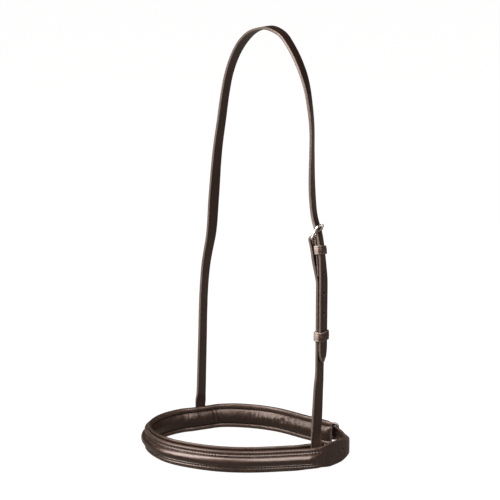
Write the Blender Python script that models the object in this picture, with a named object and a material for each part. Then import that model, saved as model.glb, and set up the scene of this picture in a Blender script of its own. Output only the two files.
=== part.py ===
# Cavesson noseband with its head strap: padded nose part, jaw strap with
# buckle, near cheekpiece with buckle and keepers, and the long headpiece strap
# that rises on the far side, passes over the poll and buckles on the near side.
#
# Metres, +Z up, -Y is the front of the nose, +X is the horse's left (near)
# side.  The noseband stands on its lower edge at Z = 0.
import math

import bmesh
import bpy
import numpy as np

MM = 0.001

# ---------------------------------------------------------------- dimensions
LINING_H = 27.0        # height of the padded lining, which stands past the strap
STRAP_W = 22.2         # width of the noseband strap and its raised leather (7/8 inch)
STRAP_T = 2.8          # leather of the long noseband strap
FLAT_W = 23.4          # widest place of the strap, just past the raised leather
JAW_W = 13.0           # width of the jaw strap (1/2 inch)
HEAD_W = 12.8          # width of the head straps (1/2 inch)
HEAD_T = 3.2           # leather of the head straps
CHAPE_T = 2.4          # skived leather where a strap turns round a bar
GAP = 0.3              # clearance between pieces that touch

COVER_T = 1.3          # raised outer leather
ROLL_R = 4.1           # how far the central roll stands out
ROLL_HALF = 5.3        # half height of the roll
SEAM_Z = 8.9           # rows of stitches above and below the middle
LINING_T = 1.3         # soft lining leather
PAD_IN = 5.4           # how far the padded middle stands in
TAB_N = -1.5           # middle of a strap end tucked in behind the strap
TAB_T = 1.6            # skived leather of a tucked strap end

NEAR_ATT = 129.4       # station of the near cheekpiece, from the front centre
FAR_ATT = -168.2       # station of the far headpiece end
COVER_NEAR = 137.0     # near end of the raised leather
COVER_FAR = -181.4     # far end of the raised leather
PAD_NEAR = 140.5       # near end of the lining
PAD_FAR = -329.0       # far end of the lining, which reaches under the jaw buckle
JAW_BAR = 228.5        # station of the jaw buckle's bar
JAW_TIP = 320.5        # station of the jaw strap's point
SHOULDER = 160.7       # start and end of the strap's curved shoulder
SHOULDER_END = 184.9
JAW_FOLD = 74.0        # length of the jaw chape's turn-back

BAR_R = 1.6            # radius of the buckle wire
HEAD_RAIL_T = 11.7     # bar to rail along the head strap
JAW_RAIL_T = 11.0      # bar to rail along the jaw strap
HOLE_R = 1.8           # punched hole
USED_HOLE_R = 2.1      # hole stretched by the tongue
HEAD_PITCH = 21.0      # spacing of the head strap's holes
JAW_PITCH = 19.3       # spacing of the jaw strap's holes
HOLE_T = 6.5           # tongue's hole, above the bar
KEEPER_H = 9.8         # height of every keeper
KEEPER_T = 1.3         # leather of the keepers
HEAD_FOLD = 38.0       # length of the cheekpiece's turn-back

STITCH_W = 0.7         # width of a seam thread
STITCH_T = 0.35        # how far a seam thread stands out

# Shift of the whole plan that puts the origin under the middle of the box, and
# of the head strap's heights with the middle of the band (mm).
CENTRE = (1.05, 4.756)
LIFT = 1.2

# Plan of the loop in which the leather stands, front centre first, then round
# the near side to the jaw and back along the far side (mm).
LOOP_PLAN = [(1, -78.4), (30, -63.4), (55, -40.7), (75, -15),
             (92, 10.5), (94.5, 32.5), (91.3, 55.5), (77.7, 65.4),
             (55, 72), (20.5, 68.5), (-13.3, 64.8), (-45.5, 52),
             (-72, 29.7), (-86, 0), (-91.7, -32.5), (-83.2, -63),
             (-61.2, -80.7), (-31.7, -86.4)]

# Route of the headpiece strap's centre line: side, front-back, height (mm)
# and the turn of its flat face about the vertical (degrees).
HEAD_ROUTE = [
    (-82.3, 11.0, 36, 0),
    (-82.2, 12.2, 60, 9),
    (-82, 13, 85, 12),
    (-81.5, 14, 125, 15),
    (-80.5, 15, 160, 15),
    (-78.5, 16, 185, 12),
    (-74.5, 16.7, 205, 8.5),
    (-70.7, 17.4, 225, 5),
    (-68.2, 18.5, 260, 2.5),
    (-65.3, 19.8, 300, 8),
    (-58.6, 21.2, 345, 12),
    (-51.4, 22.5, 385, 13.5),
    (-42.3, 23.4, 410, 11),
    (-28.5, 24, 430, 4.5),
    (-10.5, 24, 442.5, 4),
    (8, 24, 446.6, 8),
    (25, 24, 442.5, 17),
    (39, 24, 430, 20),
    (53.2, 23.4, 410, 21),
    (63.8, 22.5, 385, 28),
    (70.9, 21.2, 345, 33),
    (72.4, 19.8, 300, 27),
    (74.8, 18.9, 277, 24),
    (78.3, 18.2, 261, 24),
    (80.7, 18.0, 255.7, 24),
    (83.8, 17.8, 249.5, 24),
    (86.2, 17.6, 242.5, 24),
    (88.2, 17.4, 234, 24),
    (90.6, 17.1, 217, 19),
    (92.4, 16.8, 196, 12),
    (92.4, 16.8, 108, 12),
]
BAR_Z = 242.5          # height at which the head buckle's bar lies
TIP_Z = 113.0          # height of the billet's point

# Cheekpiece centre line below the billet: side, front-back, height, turn.
CHEEK_ROUTE = [
    (88.2, 12.4, 38, -18),
    (87.9, 14.0, 56, -6),
    (87.7, 15.4, 78, 3),
]


# ---------------------------------------------------------------- curves
def monotone(xs, ys):
    """Smooth curve through (xs, ys) without overshoot; straight stays straight."""
    xs = np.asarray(xs, float)
    ys = np.asarray(ys, float)
    h = np.diff(xs)
    d = np.diff(ys) / h
    m = np.zeros(len(xs))
    m[0], m[-1] = d[0], d[-1]
    for i in range(1, len(xs) - 1):
        if d[i - 1] * d[i] > 0:
            w1 = 2 * h[i] + h[i - 1]
            w2 = h[i] + 2 * h[i - 1]
            m[i] = (w1 + w2) / (w1 / d[i - 1] + w2 / d[i])

    def f(x):
        x = min(max(x, xs[0]), xs[-1])
        i = min(max(int(np.searchsorted(xs, x)) - 1, 0), len(h) - 1)
        u = (x - xs[i]) / h[i]
        return ((2 * u ** 3 - 3 * u ** 2 + 1) * ys[i] + (u ** 3 - 2 * u ** 2 + u) * h[i] * m[i]
                + (3 * u ** 2 - 2 * u ** 3) * ys[i + 1] + (u ** 3 - u ** 2) * h[i] * m[i + 1])
    return f


def smooth(a, b, x):
    u = min(max((x - a) / (b - a), 0.0), 1.0)
    return u * u * (3 - 2 * u)


class Loop:
    """Closed smooth curve through the plan points, measured by its length."""

    def __init__(self, pts):
        p = np.array(pts, float)
        n = len(p)
        a = np.zeros((n, n))
        rhs = np.zeros((n, 2))
        for i in range(n):
            a[i, i] = 4
            a[i, (i - 1) % n] = 1
            a[i, (i + 1) % n] = 1
            rhs[i] = 3 * (p[(i + 1) % n] - p[(i - 1) % n])
        m = np.linalg.solve(a, rhs)
        k = 60
        out = []
        for i in range(n):
            j = (i + 1) % n
            for q in range(k):
                u = q / k
                out.append((2 * u ** 3 - 3 * u ** 2 + 1) * p[i] + (u ** 3 - 2 * u ** 2 + u) * m[i]
                           + (3 * u ** 2 - 2 * u ** 3) * p[j] + (u ** 3 - u ** 2) * m[j])
        out.append(out[0])
        self.p = np.array(out)
        self.s = np.r_[0, np.cumsum(np.linalg.norm(np.diff(self.p, axis=0), axis=1))]
        self.length = self.s[-1]

    def at(self, s):
        s = s % self.length
        return np.array([np.interp(s, self.s, self.p[:, 0]), np.interp(s, self.s, self.p[:, 1])])

    def frame(self, s):
        """Point, tangent and outward normal."""
        d = self.at(s + 1.5) - self.at(s - 1.5)
        d = d / np.linalg.norm(d)
        return self.at(s), d, np.array([d[1], -d[0]])


LOOP = Loop([(x + CENTRE[0], y + CENTRE[1]) for x, y in LOOP_PLAN])
UP = np.array([0.0, 0.0, 1.0])
MID = LINING_H / 2


def band(s, n=0.0, z=0.0):
    """Frame of the band at station s: point, up the band, outward."""
    p, d, o = LOOP.frame(s)
    c = p + n * o
    return np.array([c[0], c[1], MID + z]), UP.copy(), np.array([o[0], o[1], 0.0])


def make_grid():
    """Stations shared by every layer of the band: closer where the loop bends."""
    fixed = sorted([JAW_BAR - LOOP.length + 3, PAD_FAR, PAD_FAR + 5, PAD_FAR + 10, PAD_FAR + 17,
                    COVER_FAR, COVER_FAR + 4, COVER_FAR + 8, COVER_FAR + 16,
                    FAR_ATT - 7.2, FAR_ATT + 7.2, NEAR_ATT - 13, NEAR_ATT - 7.2, NEAR_ATT - 3,
                    COVER_NEAR - 9, COVER_NEAR - 5, PAD_NEAR - 3, COVER_NEAR, PAD_NEAR, 143])
    out = [fixed[0]]
    for a, b in zip(fixed, fixed[1:]):
        n = 1
        while True:
            turn = 0.0
            for i in range(n):
                _, d0, _ = LOOP.frame(a + (b - a) * i / n)
                _, d1, _ = LOOP.frame(a + (b - a) * (i + 1) / n)
                turn = max(turn, math.degrees(math.acos(min(1.0, float(d0.dot(d1))))))
            if (turn <= 14.0 and (b - a) / n <= 11.0) or n > 40:
                break
            n += 1
        out += [a + (b - a) * (i + 1) / n for i in range(n)]
    return out


GRID = make_grid()


def grid(a, b):
    return [s for s in GRID if a - 1e-6 <= s <= b + 1e-6]


class Route:
    """Strap route in space with a turning flat face."""

    def __init__(self, rows):
        r = np.array(rows, float)
        u = np.r_[0, np.cumsum(np.linalg.norm(np.diff(r[:, :3], axis=0), axis=1))]
        f = [monotone(u, r[:, i]) for i in range(4)]
        n = 900
        q = np.array([[g(x) for g in f] for x in np.linspace(0, u[-1], n)])
        self.q = q
        self.s = np.r_[0, np.cumsum(np.linalg.norm(np.diff(q[:, :3], axis=0), axis=1))]
        self.length = self.s[-1]

    def row(self, s):
        return np.array([np.interp(s, self.s, self.q[:, i]) for i in range(4)])

    def frame(self, s):
        """Point, across the strap, outward, along."""
        r = self.row(s)
        d = self.row(min(s + 1.0, self.length))[:3] - self.row(max(s - 1.0, 0))[:3]
        d = d / np.linalg.norm(d)
        a = math.radians(r[3])
        w = np.array([-math.sin(a), math.cos(a), 0.0])
        w = w - w.dot(d) * d
        w = w / np.linalg.norm(w)
        return r[:3], w, np.cross(d, w), d


def moved(rows):
    return [(x + CENTRE[0], y + CENTRE[1], z + LIFT, az) for x, y, z, az in rows]


# far end of the headpiece lies in a pocket between strap and lining
def pocket(s, n, z, turn=0.0):
    p, up, out = band(s, n, z)
    az = math.degrees(math.atan2(out[1], out[0])) + turn
    return (p[0], p[1], p[2], az)


far_pocket = [pocket(FAR_ATT, TAB_N, -8.0), pocket(FAR_ATT, TAB_N, 13.5), pocket(FAR_ATT, -2.3, 20.0, 7)]
far_pocket = [(x, y, z, az - 180) for x, y, z, az in far_pocket]
HEAD = Route(far_pocket + moved(HEAD_ROUTE))


def station_at_height(route, z):
    """Last station, counted from the start, where the route is at height z."""
    k = np.where(route.q[:, 2] >= z + LIFT)[0][-1]
    return float(route.s[k])


BAR_S = station_at_height(HEAD, BAR_Z)


def near(t, n=0.0, w=0.0):
    """Near-side frame: t above the bar along the strap, n outward, w to the rear."""
    p, wd, out, d = HEAD.frame(BAR_S - t)
    return p + n * out + w * wd, wd, out, -d


def jaw(t, n=0.0, w=0.0):
    """Jaw frame: t from the bar towards the near side, n outward, w up."""
    p, up, out = band(JAW_BAR - t, n)
    return p + w * up, up, out, np.cross(out, up)


# ---------------------------------------------------------------- mesh tools
def finish(bm, name, colour, rough, metal=0.0, smooth_angle=None):
    bmesh.ops.recalc_face_normals(bm, faces=bm.faces[:])
    if bm.calc_volume(signed=True) < 0:
        bmesh.ops.reverse_faces(bm, faces=bm.faces[:])
    me = bpy.data.meshes.new(name)
    bm.to_mesh(me)
    bm.free()
    ob = bpy.data.objects.new(name, me)
    bpy.context.scene.collection.objects.link(ob)
    mat = bpy.data.materials.new(name)
    mat.use_nodes = True
    b = mat.node_tree.nodes["Principled BSDF"]
    b.inputs["Base Color"].default_value = (*colour, 1.0)
    b.inputs["Roughness"].default_value = rough
    b.inputs["Metallic"].default_value = metal
    me.materials.append(mat)
    if smooth_angle:
        me.shade_smooth()
        me.set_sharp_from_angle(angle=math.radians(smooth_angle))
    return ob


def add_sweep(bm, rings, closed=False):
    """Skin a list of rings (each a list of points, mm) into one closed body."""
    vs = [[bm.verts.new([c * MM for c in p]) for p in ring] for ring in rings]
    k = len(vs[0])
    n = len(vs)
    for i in range(n if closed else n - 1):
        a, b = vs[i], vs[(i + 1) % n]
        for j in range(k):
            bm.faces.new((a[j], a[(j + 1) % k], b[(j + 1) % k], b[j]))
    if not closed:
        bm.faces.new(vs[0])
        bm.faces.new(list(reversed(vs[-1])))


def strap_section(width, thick, chamfer=0.7):
    c = min(chamfer, thick * 0.3)
    a, b = width / 2, thick / 2
    return [(-a, -b + c), (-a + c, -b), (a - c, -b), (a, -b + c),
            (a, b - c), (a - c, b), (-a + c, b), (-a, b - c)]


def ring_at(p, w, o, section):
    return [p + x * w + y * o for x, y in section]


def spaced(stations, step):
    """Stations from a to b through every listed value, about step apart."""
    out = [stations[0]]
    for a, b in zip(stations, stations[1:]):
        n = max(1, int(round(abs(b - a) / step)))
        out += [a + (b - a) * (i + 1) / n for i in range(n)]
    return out


def cylinder_cutter(name, centres):
    """Round punches: one closed cylinder for each (point, axis, radius, half length)."""
    bm = bmesh.new()
    for p, axis, r, h in centres:
        axis = axis / np.linalg.norm(axis)
        u = np.cross(axis, UP if abs(axis[2]) < 0.9 else np.array([1.0, 0, 0]))
        u /= np.linalg.norm(u)
        v = np.cross(axis, u)
        rings = []
        for e in (-h, h):
            rings.append([p + axis * e + r * (math.cos(a) * u + math.sin(a) * v)
                          for a in [2 * math.pi * i / 12 for i in range(12)]])
        add_sweep(bm, rings)
    ob = finish(bm, name, (0.5, 0.5, 0.5), 0.5)
    ob.hide_render = True
    ob.display_type = "WIRE"
    return ob


def box_cutter(name, corners):
    bm = bmesh.new()
    add_sweep(bm, corners)
    ob = finish(bm, name, (0.5, 0.5, 0.5), 0.5)
    ob.hide_render = True
    ob.display_type = "WIRE"
    return ob


def cut(ob, cutter):
    m = ob.modifiers.new(cutter.name, "BOOLEAN")
    m.operation = "DIFFERENCE"
    m.solver = "EXACT"
    m.object = cutter


# ---------------------------------------------------------------- leather colours
DARK = (0.028, 0.017, 0.012)
MIDB = (0.045, 0.029, 0.021)
THREAD = (0.06, 0.04, 0.03)
FOAM = (0.55, 0.53, 0.45)
STEEL = (0.62, 0.61, 0.58)


# ---------------------------------------------------------------- noseband strap
def jaw_layers():
    """Offsets of the jaw strap's layers, outward from the loop."""
    bar_n = 4.5
    main = STRAP_T / 2
    wrap = BAR_R + GAP + CHAPE_T / 2
    return bar_n, main, wrap


JAW_BAR_N, MAIN_N, WRAP_R = jaw_layers()
# billet: station from the bar towards the near side, outward offset
BILLET_N = monotone([-92, -74, -62, -50, -26, -12, 0, 11, 22, 38, 58],
                    [6.2, 7.0, 8.4, 8.4, 8.7, 9.4, 10.8, 6.9, 3.6, 1.6, MAIN_N])
# turn-back of the chape, behind the bar: offset and thickness
FOLD_N = monotone([-74, -66, -60, -48, -20, -7, 0], [3.8, 4.7, 5.7, 5.7, 5.75, 6.2, JAW_BAR_N + WRAP_R])
FOLD_T = monotone([-74, -60, -20, -7, 0], [0.9, 1.7, 1.9, 2.1, CHAPE_T])


def jaw_width(s):
    """Width of the strap past the lining: wide and flat, a shoulder, then the billet and its point."""
    point = monotone([JAW_TIP - 16, JAW_TIP - 6, JAW_TIP - 1.5, JAW_TIP], [JAW_W, 10.2, 5.0, 2.4])
    if s > JAW_TIP - 16:
        return point(s)
    flat = STRAP_W + (FLAT_W - STRAP_W) * smooth(137, 150, s)
    return flat + (JAW_W - flat) * smooth(SHOULDER, SHOULDER_END, s)


def build_noseband_strap():
    bm = bmesh.new()
    rings = []
    bar = JAW_BAR - LOOP.length          # same place, counted from the far side
    p0, d0, o0 = LOOP.frame(bar)
    d3 = np.array([d0[0], d0[1], 0.0])
    o3 = np.array([o0[0], o0[1], 0.0])
    pb = np.array([p0[0], p0[1], MID]) + JAW_BAR_N * o3
    chape_w = JAW_W - 0.4
    # turn-back, from its skived end to the bar
    for t in spaced([-JAW_FOLD, -66, -60, -48, -20, -7, -1.5], 9.0):
        p, up, out = band(bar - t, FOLD_N(t))
        rings.append(ring_at(p, up, out, strap_section(chape_w, FOLD_T(t))))
    # bend round the bar, on the side away from the far band
    for i in range(7):
        a = math.pi / 2 - math.pi * i / 6
        radial = math.cos(a) * (-d3) + math.sin(a) * o3
        rings.append(ring_at(pb + WRAP_R * radial, UP, radial, strap_section(chape_w, CHAPE_T)))
    # inner layer: chape and padded nose part
    n0 = JAW_BAR_N - WRAP_R
    width_in = monotone([bar, bar + 3.5, bar + 16, 137, 150], [chape_w, chape_w, STRAP_W, STRAP_W, FLAT_W])
    for s in grid(bar + 3, 143):
        thick = CHAPE_T + (STRAP_T - CHAPE_T) * smooth(bar + 3, bar + 12, s)
        n = n0 + (MAIN_N - n0) * smooth(bar, bar + 10, s)
        p, up, out = band(s, n)
        rings.append(ring_at(p, up, -out, strap_section(width_in(s), thick)))
    # jaw strap, billet and point
    for s in spaced([143, 150, 160, SHOULDER_END, JAW_BAR, JAW_BAR + 12, JAW_TIP - 16, JAW_TIP - 6, JAW_TIP - 1.5, JAW_TIP], 4.8)[1:]:
        p, up, out = band(s, BILLET_N(JAW_BAR - s))
        rings.append(ring_at(p, up, -out, strap_section(jaw_width(s), STRAP_T)))
    add_sweep(bm, rings)
    ob = finish(bm, "noseband_strap", DARK, 0.45, smooth_angle=30)
    # punched holes of the jaw strap
    centres = []
    for k in range(-2, 4):
        t = HOLE_T + JAW_PITCH * k
        p, up, out, _ = jaw(t, BILLET_N(t))
        r = USED_HOLE_R if k == 0 else HOLE_R
        centres.append((p, out if k else tilt(jaw, t, BILLET_N), r, 2.4))
    cut(ob, cylinder_cutter("jaw_holes_cutter", centres))
    # slot in the chape that lets the tongue out
    cut(ob, slot_cutter("jaw_slot_cutter", jaw, JAW_BAR_N))
    return ob


def tilt(frame, t, nfun):
    """Outward direction square to a layer whose offset changes with t."""
    slope = (nfun(t + 1) - nfun(t - 1)) / 2.0
    p, w, out, up = frame(t)
    v = out - slope * up
    return v / np.linalg.norm(v)


def slot_cutter(name, frame, bar_n):
    """Slot across the bend of a chape, 5 mm wide, round the bar."""
    p, w, out, up = frame(0.0, bar_n)
    corners = []
    for x in (-2.5, 2.5):
        corners.append([p + x * w + y * out + z * up
                        for y, z in ((-4.9, -6.0), (4.7, -6.0), (4.7, 5.0), (-4.9, 5.0))])
    return box_cutter(name, corners)


# ---------------------------------------------------------------- raised cover and its roll
def roll_amount(s):
    return smooth(COVER_FAR + 1, COVER_FAR + 16, s) * (1 - smooth(COVER_NEAR - 13, COVER_NEAR - 1, s))


def build_cover():
    bm = bmesh.new()
    rings = []
    n0 = STRAP_T + GAP
    for s in grid(COVER_FAR, COVER_NEAR):
        k = roll_amount(s)
        end = min(smooth(COVER_FAR - 2, COVER_FAR + 6, s), 1 - smooth(COVER_NEAR - 5, COVER_NEAR + 2, s))
        h = STRAP_W / 2 - 0.1 - 1.0 * (1 - end)
        t = COVER_T * (0.55 + 0.45 * end)
        r = ROLL_HALF
        outer = [(-h, n0 + t * 0.5), (-h + 0.6, n0 + t), (-r - 0.6, n0 + t)]
        for a in (-60, -25, 0, 25, 60):
            y = math.sin(math.radians(a)) * r / math.sin(math.radians(75))
            outer.append((y, n0 + t + k * ROLL_R * math.cos(math.radians(a)) ** 0.8))
        outer += [(r + 0.6, n0 + t), (h - 0.6, n0 + t), (h, n0 + t * 0.5)]
        c = r - 1.3
        inner = [(h, n0), (c, n0), (c * 0.55, n0 + max(k * (ROLL_R - 0.55), 0.0)),
                 (-c * 0.55, n0 + max(k * (ROLL_R - 0.55), 0.0)), (-c, n0), (-h, n0)]
        p, up, out = band(s)
        rings.append(ring_at(p, up, out, outer + inner))
    add_sweep(bm, rings)
    finish(bm, "raised_cover", MIDB, 0.35, smooth_angle=40)


def build_roll_core():
    bm = bmesh.new()
    rings = []
    n0 = STRAP_T + GAP
    for s in grid(COVER_FAR + 8, COVER_NEAR - 9):
        k = roll_amount(s)
        c = ROLL_HALF - 1.3 - 0.4
        top = n0 + max(k * (ROLL_R - 0.55) - GAP, 0.35)
        a = c * 0.5
        p, up, out = band(s)
        rings.append(ring_at(p, up, out, [(-c * 0.85, n0 + 0.15), (c * 0.85, n0 + 0.15), (a, top), (-a, top)]))
    add_sweep(bm, rings)
    finish(bm, "roll_filler_cord", FOAM, 0.9)


# ---------------------------------------------------------------- lining and its padding
def tab_room(s):
    """Extra room inward where a head strap end is tucked behind the strap."""
    a = 1 - smooth(7.2, 13.0, abs(s - NEAR_ATT)) if s > 0 else 1 - smooth(7.2, 13.0, abs(s - FAR_ATT))
    return 2.3 * a


def pad_amount(s):
    return smooth(PAD_FAR, PAD_FAR + 10, s) * (1 - smooth(PAD_NEAR - 10, PAD_NEAR, s))


def build_lining():
    bm = bmesh.new()
    rings = []
    h = MID
    for s in grid(PAD_FAR, PAD_NEAR):
        k = pad_amount(s)
        room = tab_room(s)
        n0 = -GAP - room
        edge = 1.4 + 1.2 * k
        deep = n0 - (1.5 + (PAD_IN - 1.8) * k)
        inner = [(-h, n0), (-h, n0 - edge * 0.8), (-h + 1.0, n0 - edge), (-h + 3.6, n0 - edge * 0.72),
                 (-h + 6.6, deep + 0.5 * k), (0.0, deep), (h - 6.6, deep + 0.5 * k),
                 (h - 3.6, n0 - edge * 0.72), (h - 1.0, n0 - edge), (h, n0 - edge * 0.8), (h, n0)]
        c = h - 3.2
        q = max(-deep + n0 - LINING_T, 0.0) * k
        cavity = [(c, n0), (c - 2.6, n0 - q), (-c + 2.6, n0 - q), (-c, n0)]
        p, up, out = band(s)
        rings.append(ring_at(p, up, out, inner + cavity))
    add_sweep(bm, rings)
    finish(bm, "padded_lining", DARK, 0.6, smooth_angle=50)


def build_foam():
    bm = bmesh.new()
    rings = []
    h = MID
    for s in grid(PAD_FAR + 17, NEAR_ATT - 3):
        k = pad_amount(s)
        room = tab_room(s)
        n0 = -GAP - room
        deep = n0 - (1.5 + (PAD_IN - 1.8) * k)
        q = max(-deep + n0 - LINING_T, 0.0) * k - GAP
        c = h - 3.2 - 0.7
        p, up, out = band(s)
        rings.append(ring_at(p, up, out, [(c - 0.2, n0 - 0.1), (c - 2.3, n0 - q), (-c + 2.3, n0 - q), (-c + 0.2, n0 - 0.1)]))
    add_sweep(bm, rings)
    finish(bm, "lining_padding", FOAM, 0.9)


# ---------------------------------------------------------------- head straps
def build_headpiece():
    bm = bmesh.new()
    tip = station_at_height(HEAD, TIP_Z)
    width = monotone([0, tip - 17, tip - 6, tip - 1.5, tip], [HEAD_W, HEAD_W, 9.6, 4.6, 2.0])
    rings = []
    zs = [0.0, 21.5, 27.0, 34.0]
    s_list = spaced(zs, 9.0)
    s_list += spaced([34.0, 150, 260, 400, BAR_S - 60], 7.5)[1:]
    s_list += spaced([BAR_S - 60, BAR_S - 22, BAR_S + 30], 4.0)[1:]
    s_list += spaced([BAR_S + 30, tip - 17, tip - 6, tip - 1.5, tip], 9.0)[1:]
    thick = monotone([0, 21.5, 30, 40, 60], [TAB_T, TAB_T, 2.6, HEAD_T, HEAD_T])
    for s in s_list:
        p, w, out, d = HEAD.frame(s)
        rings.append(ring_at(p, w, out, strap_section(width(s), thick(s))))
    add_sweep(bm, rings)
    ob = finish(bm, "headpiece_strap", DARK, 0.45, smooth_angle=30)
    centres = []
    for k in range(0, 5):
        p, w, out, up = near(HOLE_T - HEAD_PITCH * k)
        centres.append((p, out, USED_HOLE_R if k == 0 else HOLE_R, 2.4))
    cut(ob, cylinder_cutter("head_holes_cutter", centres))
    return ob


HEAD_BAR_N = -6.2
# inner layer of the cheekpiece and its turn-back, below the bar
CHEEK_N = monotone([-134, -46, -38, -19, -13, -7, 0], [-3.6, -3.6, -4.9, -7.75, -8.1, -8.7, -9.3])
CHEEK_T = monotone([-134, -19, -13, -7, 0], [HEAD_T, HEAD_T, 3.0, 2.6, CHAPE_T])
CFOLD_N = monotone([-38, -30, -19, -8, 0], [-2.45, -2.8, -3.05, -3.1, -3.1])
CFOLD_T = monotone([-38, -30, -19, -8, 0], [0.9, 1.6, 2.0, 2.2, CHAPE_T])


def build_cheekpiece():
    bm = bmesh.new()
    t_low = -(station_at_height(HEAD, 108.5) - BAR_S)
    p_low, w_low, o_low, u_low = near(t_low, CHEEK_N(t_low))
    az = math.degrees(math.atan2(o_low[1], o_low[0]))
    # the extra last row keeps the tangent vertical where the routes meet
    rows = [pocket(NEAR_ATT, TAB_N, -8.0), pocket(NEAR_ATT, TAB_N, 13.5), pocket(NEAR_ATT, -2.1, 20.0, 3)]
    rows += moved(CHEEK_ROUTE)
    rows += [(p_low[0], p_low[1], p_low[2], az), (p_low[0], p_low[1], p_low[2] + 20, az)]
    low = Route(rows)
    end = float(np.interp(p_low[2], low.q[:, 2], low.s))
    thick = monotone([0, 21.5, 30, 40, 60], [TAB_T, TAB_T, 2.6, HEAD_T, HEAD_T])
    rings = []
    for s in spaced([0.0, 21.5, 27, 34, end], 8.0):
        p, w, out, d = low.frame(s)
        # this route runs upward, so its outward side is the other way
        rings.append(ring_at(p, w, -out, strap_section(HEAD_W, thick(s))))
    for t in spaced([t_low, -46, -38, -30, -19, -13, -7, -1.5], 11.0)[1:]:
        p, w, out, up = near(t, CHEEK_N(t))
        rings.append(ring_at(p, w, out, strap_section(HEAD_W, CHEEK_T(t))))
    pb, wb, ob_, ub = near(0.0, HEAD_BAR_N)
    r = BAR_R + GAP + CHAPE_T / 2
    for i in range(7):
        a = -math.pi / 2 + math.pi * i / 6
        radial = math.cos(a) * ub + math.sin(a) * ob_
        rings.append(ring_at(pb + r * radial, wb, -radial, strap_section(HEAD_W, CHAPE_T)))
    for t in spaced([-1.5, -8, -19, -30, -HEAD_FOLD], 6.0):
        p, w, out, up = near(t, CFOLD_N(t))
        rings.append(ring_at(p, w, -out, strap_section(HEAD_W, CFOLD_T(t))))
    add_sweep(bm, rings)
    ob = finish(bm, "near_cheekpiece", DARK, 0.45, smooth_angle=30)
    cut(ob, slot_cutter("head_slot_cutter", near, HEAD_BAR_N))
    return ob


# ---------------------------------------------------------------- buckles
def sweep_path(bm, pts, side, section, closed):
    """Sweep a section along points in space; side is the fixed cross direction."""
    rings = []
    n = len(pts)
    for i in range(n):
        a = pts[(i - 1) % n] if (closed or i > 0) else pts[i]
        b = pts[(i + 1) % n] if (closed or i < n - 1) else pts[i]
        d = b - a
        d = d / np.linalg.norm(d)
        u = side - side.dot(d) * d
        u = u / np.linalg.norm(u)
        v = np.cross(d, u)
        rings.append([pts[i] + x * u + y * v for x, y in section])
    add_sweep(bm, rings, closed)


def buckle_frame(name, frame, bar_n, rail_t, rail_n, inner_half, wire):
    """One wire ring: bar, two side rails and the outer rail, on rounded corners."""
    half = inner_half + wire
    pb, wb, ob_, ub = frame(0.0, bar_n)
    pr, wr, orr, ur = frame(rail_t, rail_n)
    e = pr - pb
    length = np.linalg.norm(e)
    e = e / length
    r = 2.2
    pts = []
    for cx, cy, a0 in ((half - r, length - r, 0), (-half + r, length - r, 90), (-half + r, r, 180), (half - r, r, 270)):
        for i in range(4):
            a = math.radians(a0 + 30 * i)
            pts.append((cx + r * math.cos(a), cy + r * math.sin(a)))
    # one more point in the middle of the bar and of the rail
    pts3 = [pb + x * wb + y * e for x, y in pts]
    side = np.cross(wb, e)
    section = [(wire * math.cos(2 * math.pi * (i + 0.5) / 8), wire * math.sin(2 * math.pi * (i + 0.5) / 8)) for i in range(8)]
    bm = bmesh.new()
    sweep_path(bm, pts3, side, section, True)
    finish(bm, name, STEEL, 0.22, 1.0, smooth_angle=60)
    return pb, wb


def tongue(name, frame, bar_n, rail_t, rail_n, half_w):
    """Flat wire: an eye round the bar, then out through the hole onto the rail."""
    pb, wb, ob_, ub = frame(0.0, bar_n)
    rm = BAR_R + 0.2 + 0.6
    pts = []
    for i in range(12):
        a = math.radians(-310 + 330 * i / 11.0)
        pts.append(pb + rm * (math.cos(a) * ub + math.sin(a) * ob_))
    dn = rail_n - bar_n
    rest = dn + BAR_R + 0.12 + 0.6
    for t, n in ((4.5, 2.4), (5.8, 4.9), (6.9, 7.4), (HOLE_T + 2.0, rest - 1.15), (rail_t - 0.8, rest), (rail_t + 2.8, rest + 0.15)):
        p, w, o, u = frame(t, bar_n + n)
        pts.append(p)
    bm = bmesh.new()
    side = wb
    sweep_path(bm, pts, side, [(-half_w, -0.35), (-half_w + 0.3, -0.6), (half_w - 0.3, -0.6), (half_w, -0.35),
                               (half_w, 0.35), (half_w - 0.3, 0.6), (-half_w + 0.3, 0.6), (-half_w, 0.35)], False)
    finish(bm, name, STEEL, 0.22, 1.0, smooth_angle=60)


HEAD_RAIL_N = HEAD_T / 2 + 0.45 + BAR_R
JAW_RAIL_N = BILLET_N(JAW_RAIL_T) + STRAP_T / 2 + 0.6 + BAR_R


# ---------------------------------------------------------------- keepers
def keeper(name, frame, t0, n_lo, n_hi, half_w, t_to_n=None):
    """Leather loop: four walls round the layers between n_lo and n_hi."""
    bm = bmesh.new()
    k = KEEPER_T
    c = 0.8
    rings = []
    inner = [(-half_w, n_lo), (half_w, n_lo), (half_w, n_hi), (-half_w, n_hi)]
    ccx, ccy = 0.0, (n_lo + n_hi) / 2
    rings_sec = []
    loop_pts = []
    for (x, y), a0 in zip(((half_w, n_hi), (-half_w, n_hi), (-half_w, n_lo), (half_w, n_lo)), (0, 90, 180, 270)):
        for i in range(3):
            a = math.radians(a0 + 45 * i)
            loop_pts.append(((x, y), (math.cos(a), math.sin(a))))
    for (x, y), (dx, dy) in loop_pts:
        ring = []
        for depth, t in ((0.0, t0), (k, t0), (k, t0 + KEEPER_H / 2), (k, t0 + KEEPER_H), (0.0, t0 + KEEPER_H), (0.0, t0 + KEEPER_H / 2)):
            # inner corner stays square with a small radius, outer corner is round
            q = (x - 0.25 * math.copysign(1, x) * 0 + dx * depth, y + dy * depth)
            if depth == 0.0:
                q = (x + dx * 0.05, y + dy * 0.05)
            p, w, o, u = frame(t, q[1], q[0])
            ring.append(p)
        rings.append(ring)
    add_sweep(bm, rings, True)
    finish(bm, name, MIDB, 0.4, smooth_angle=40)


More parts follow.
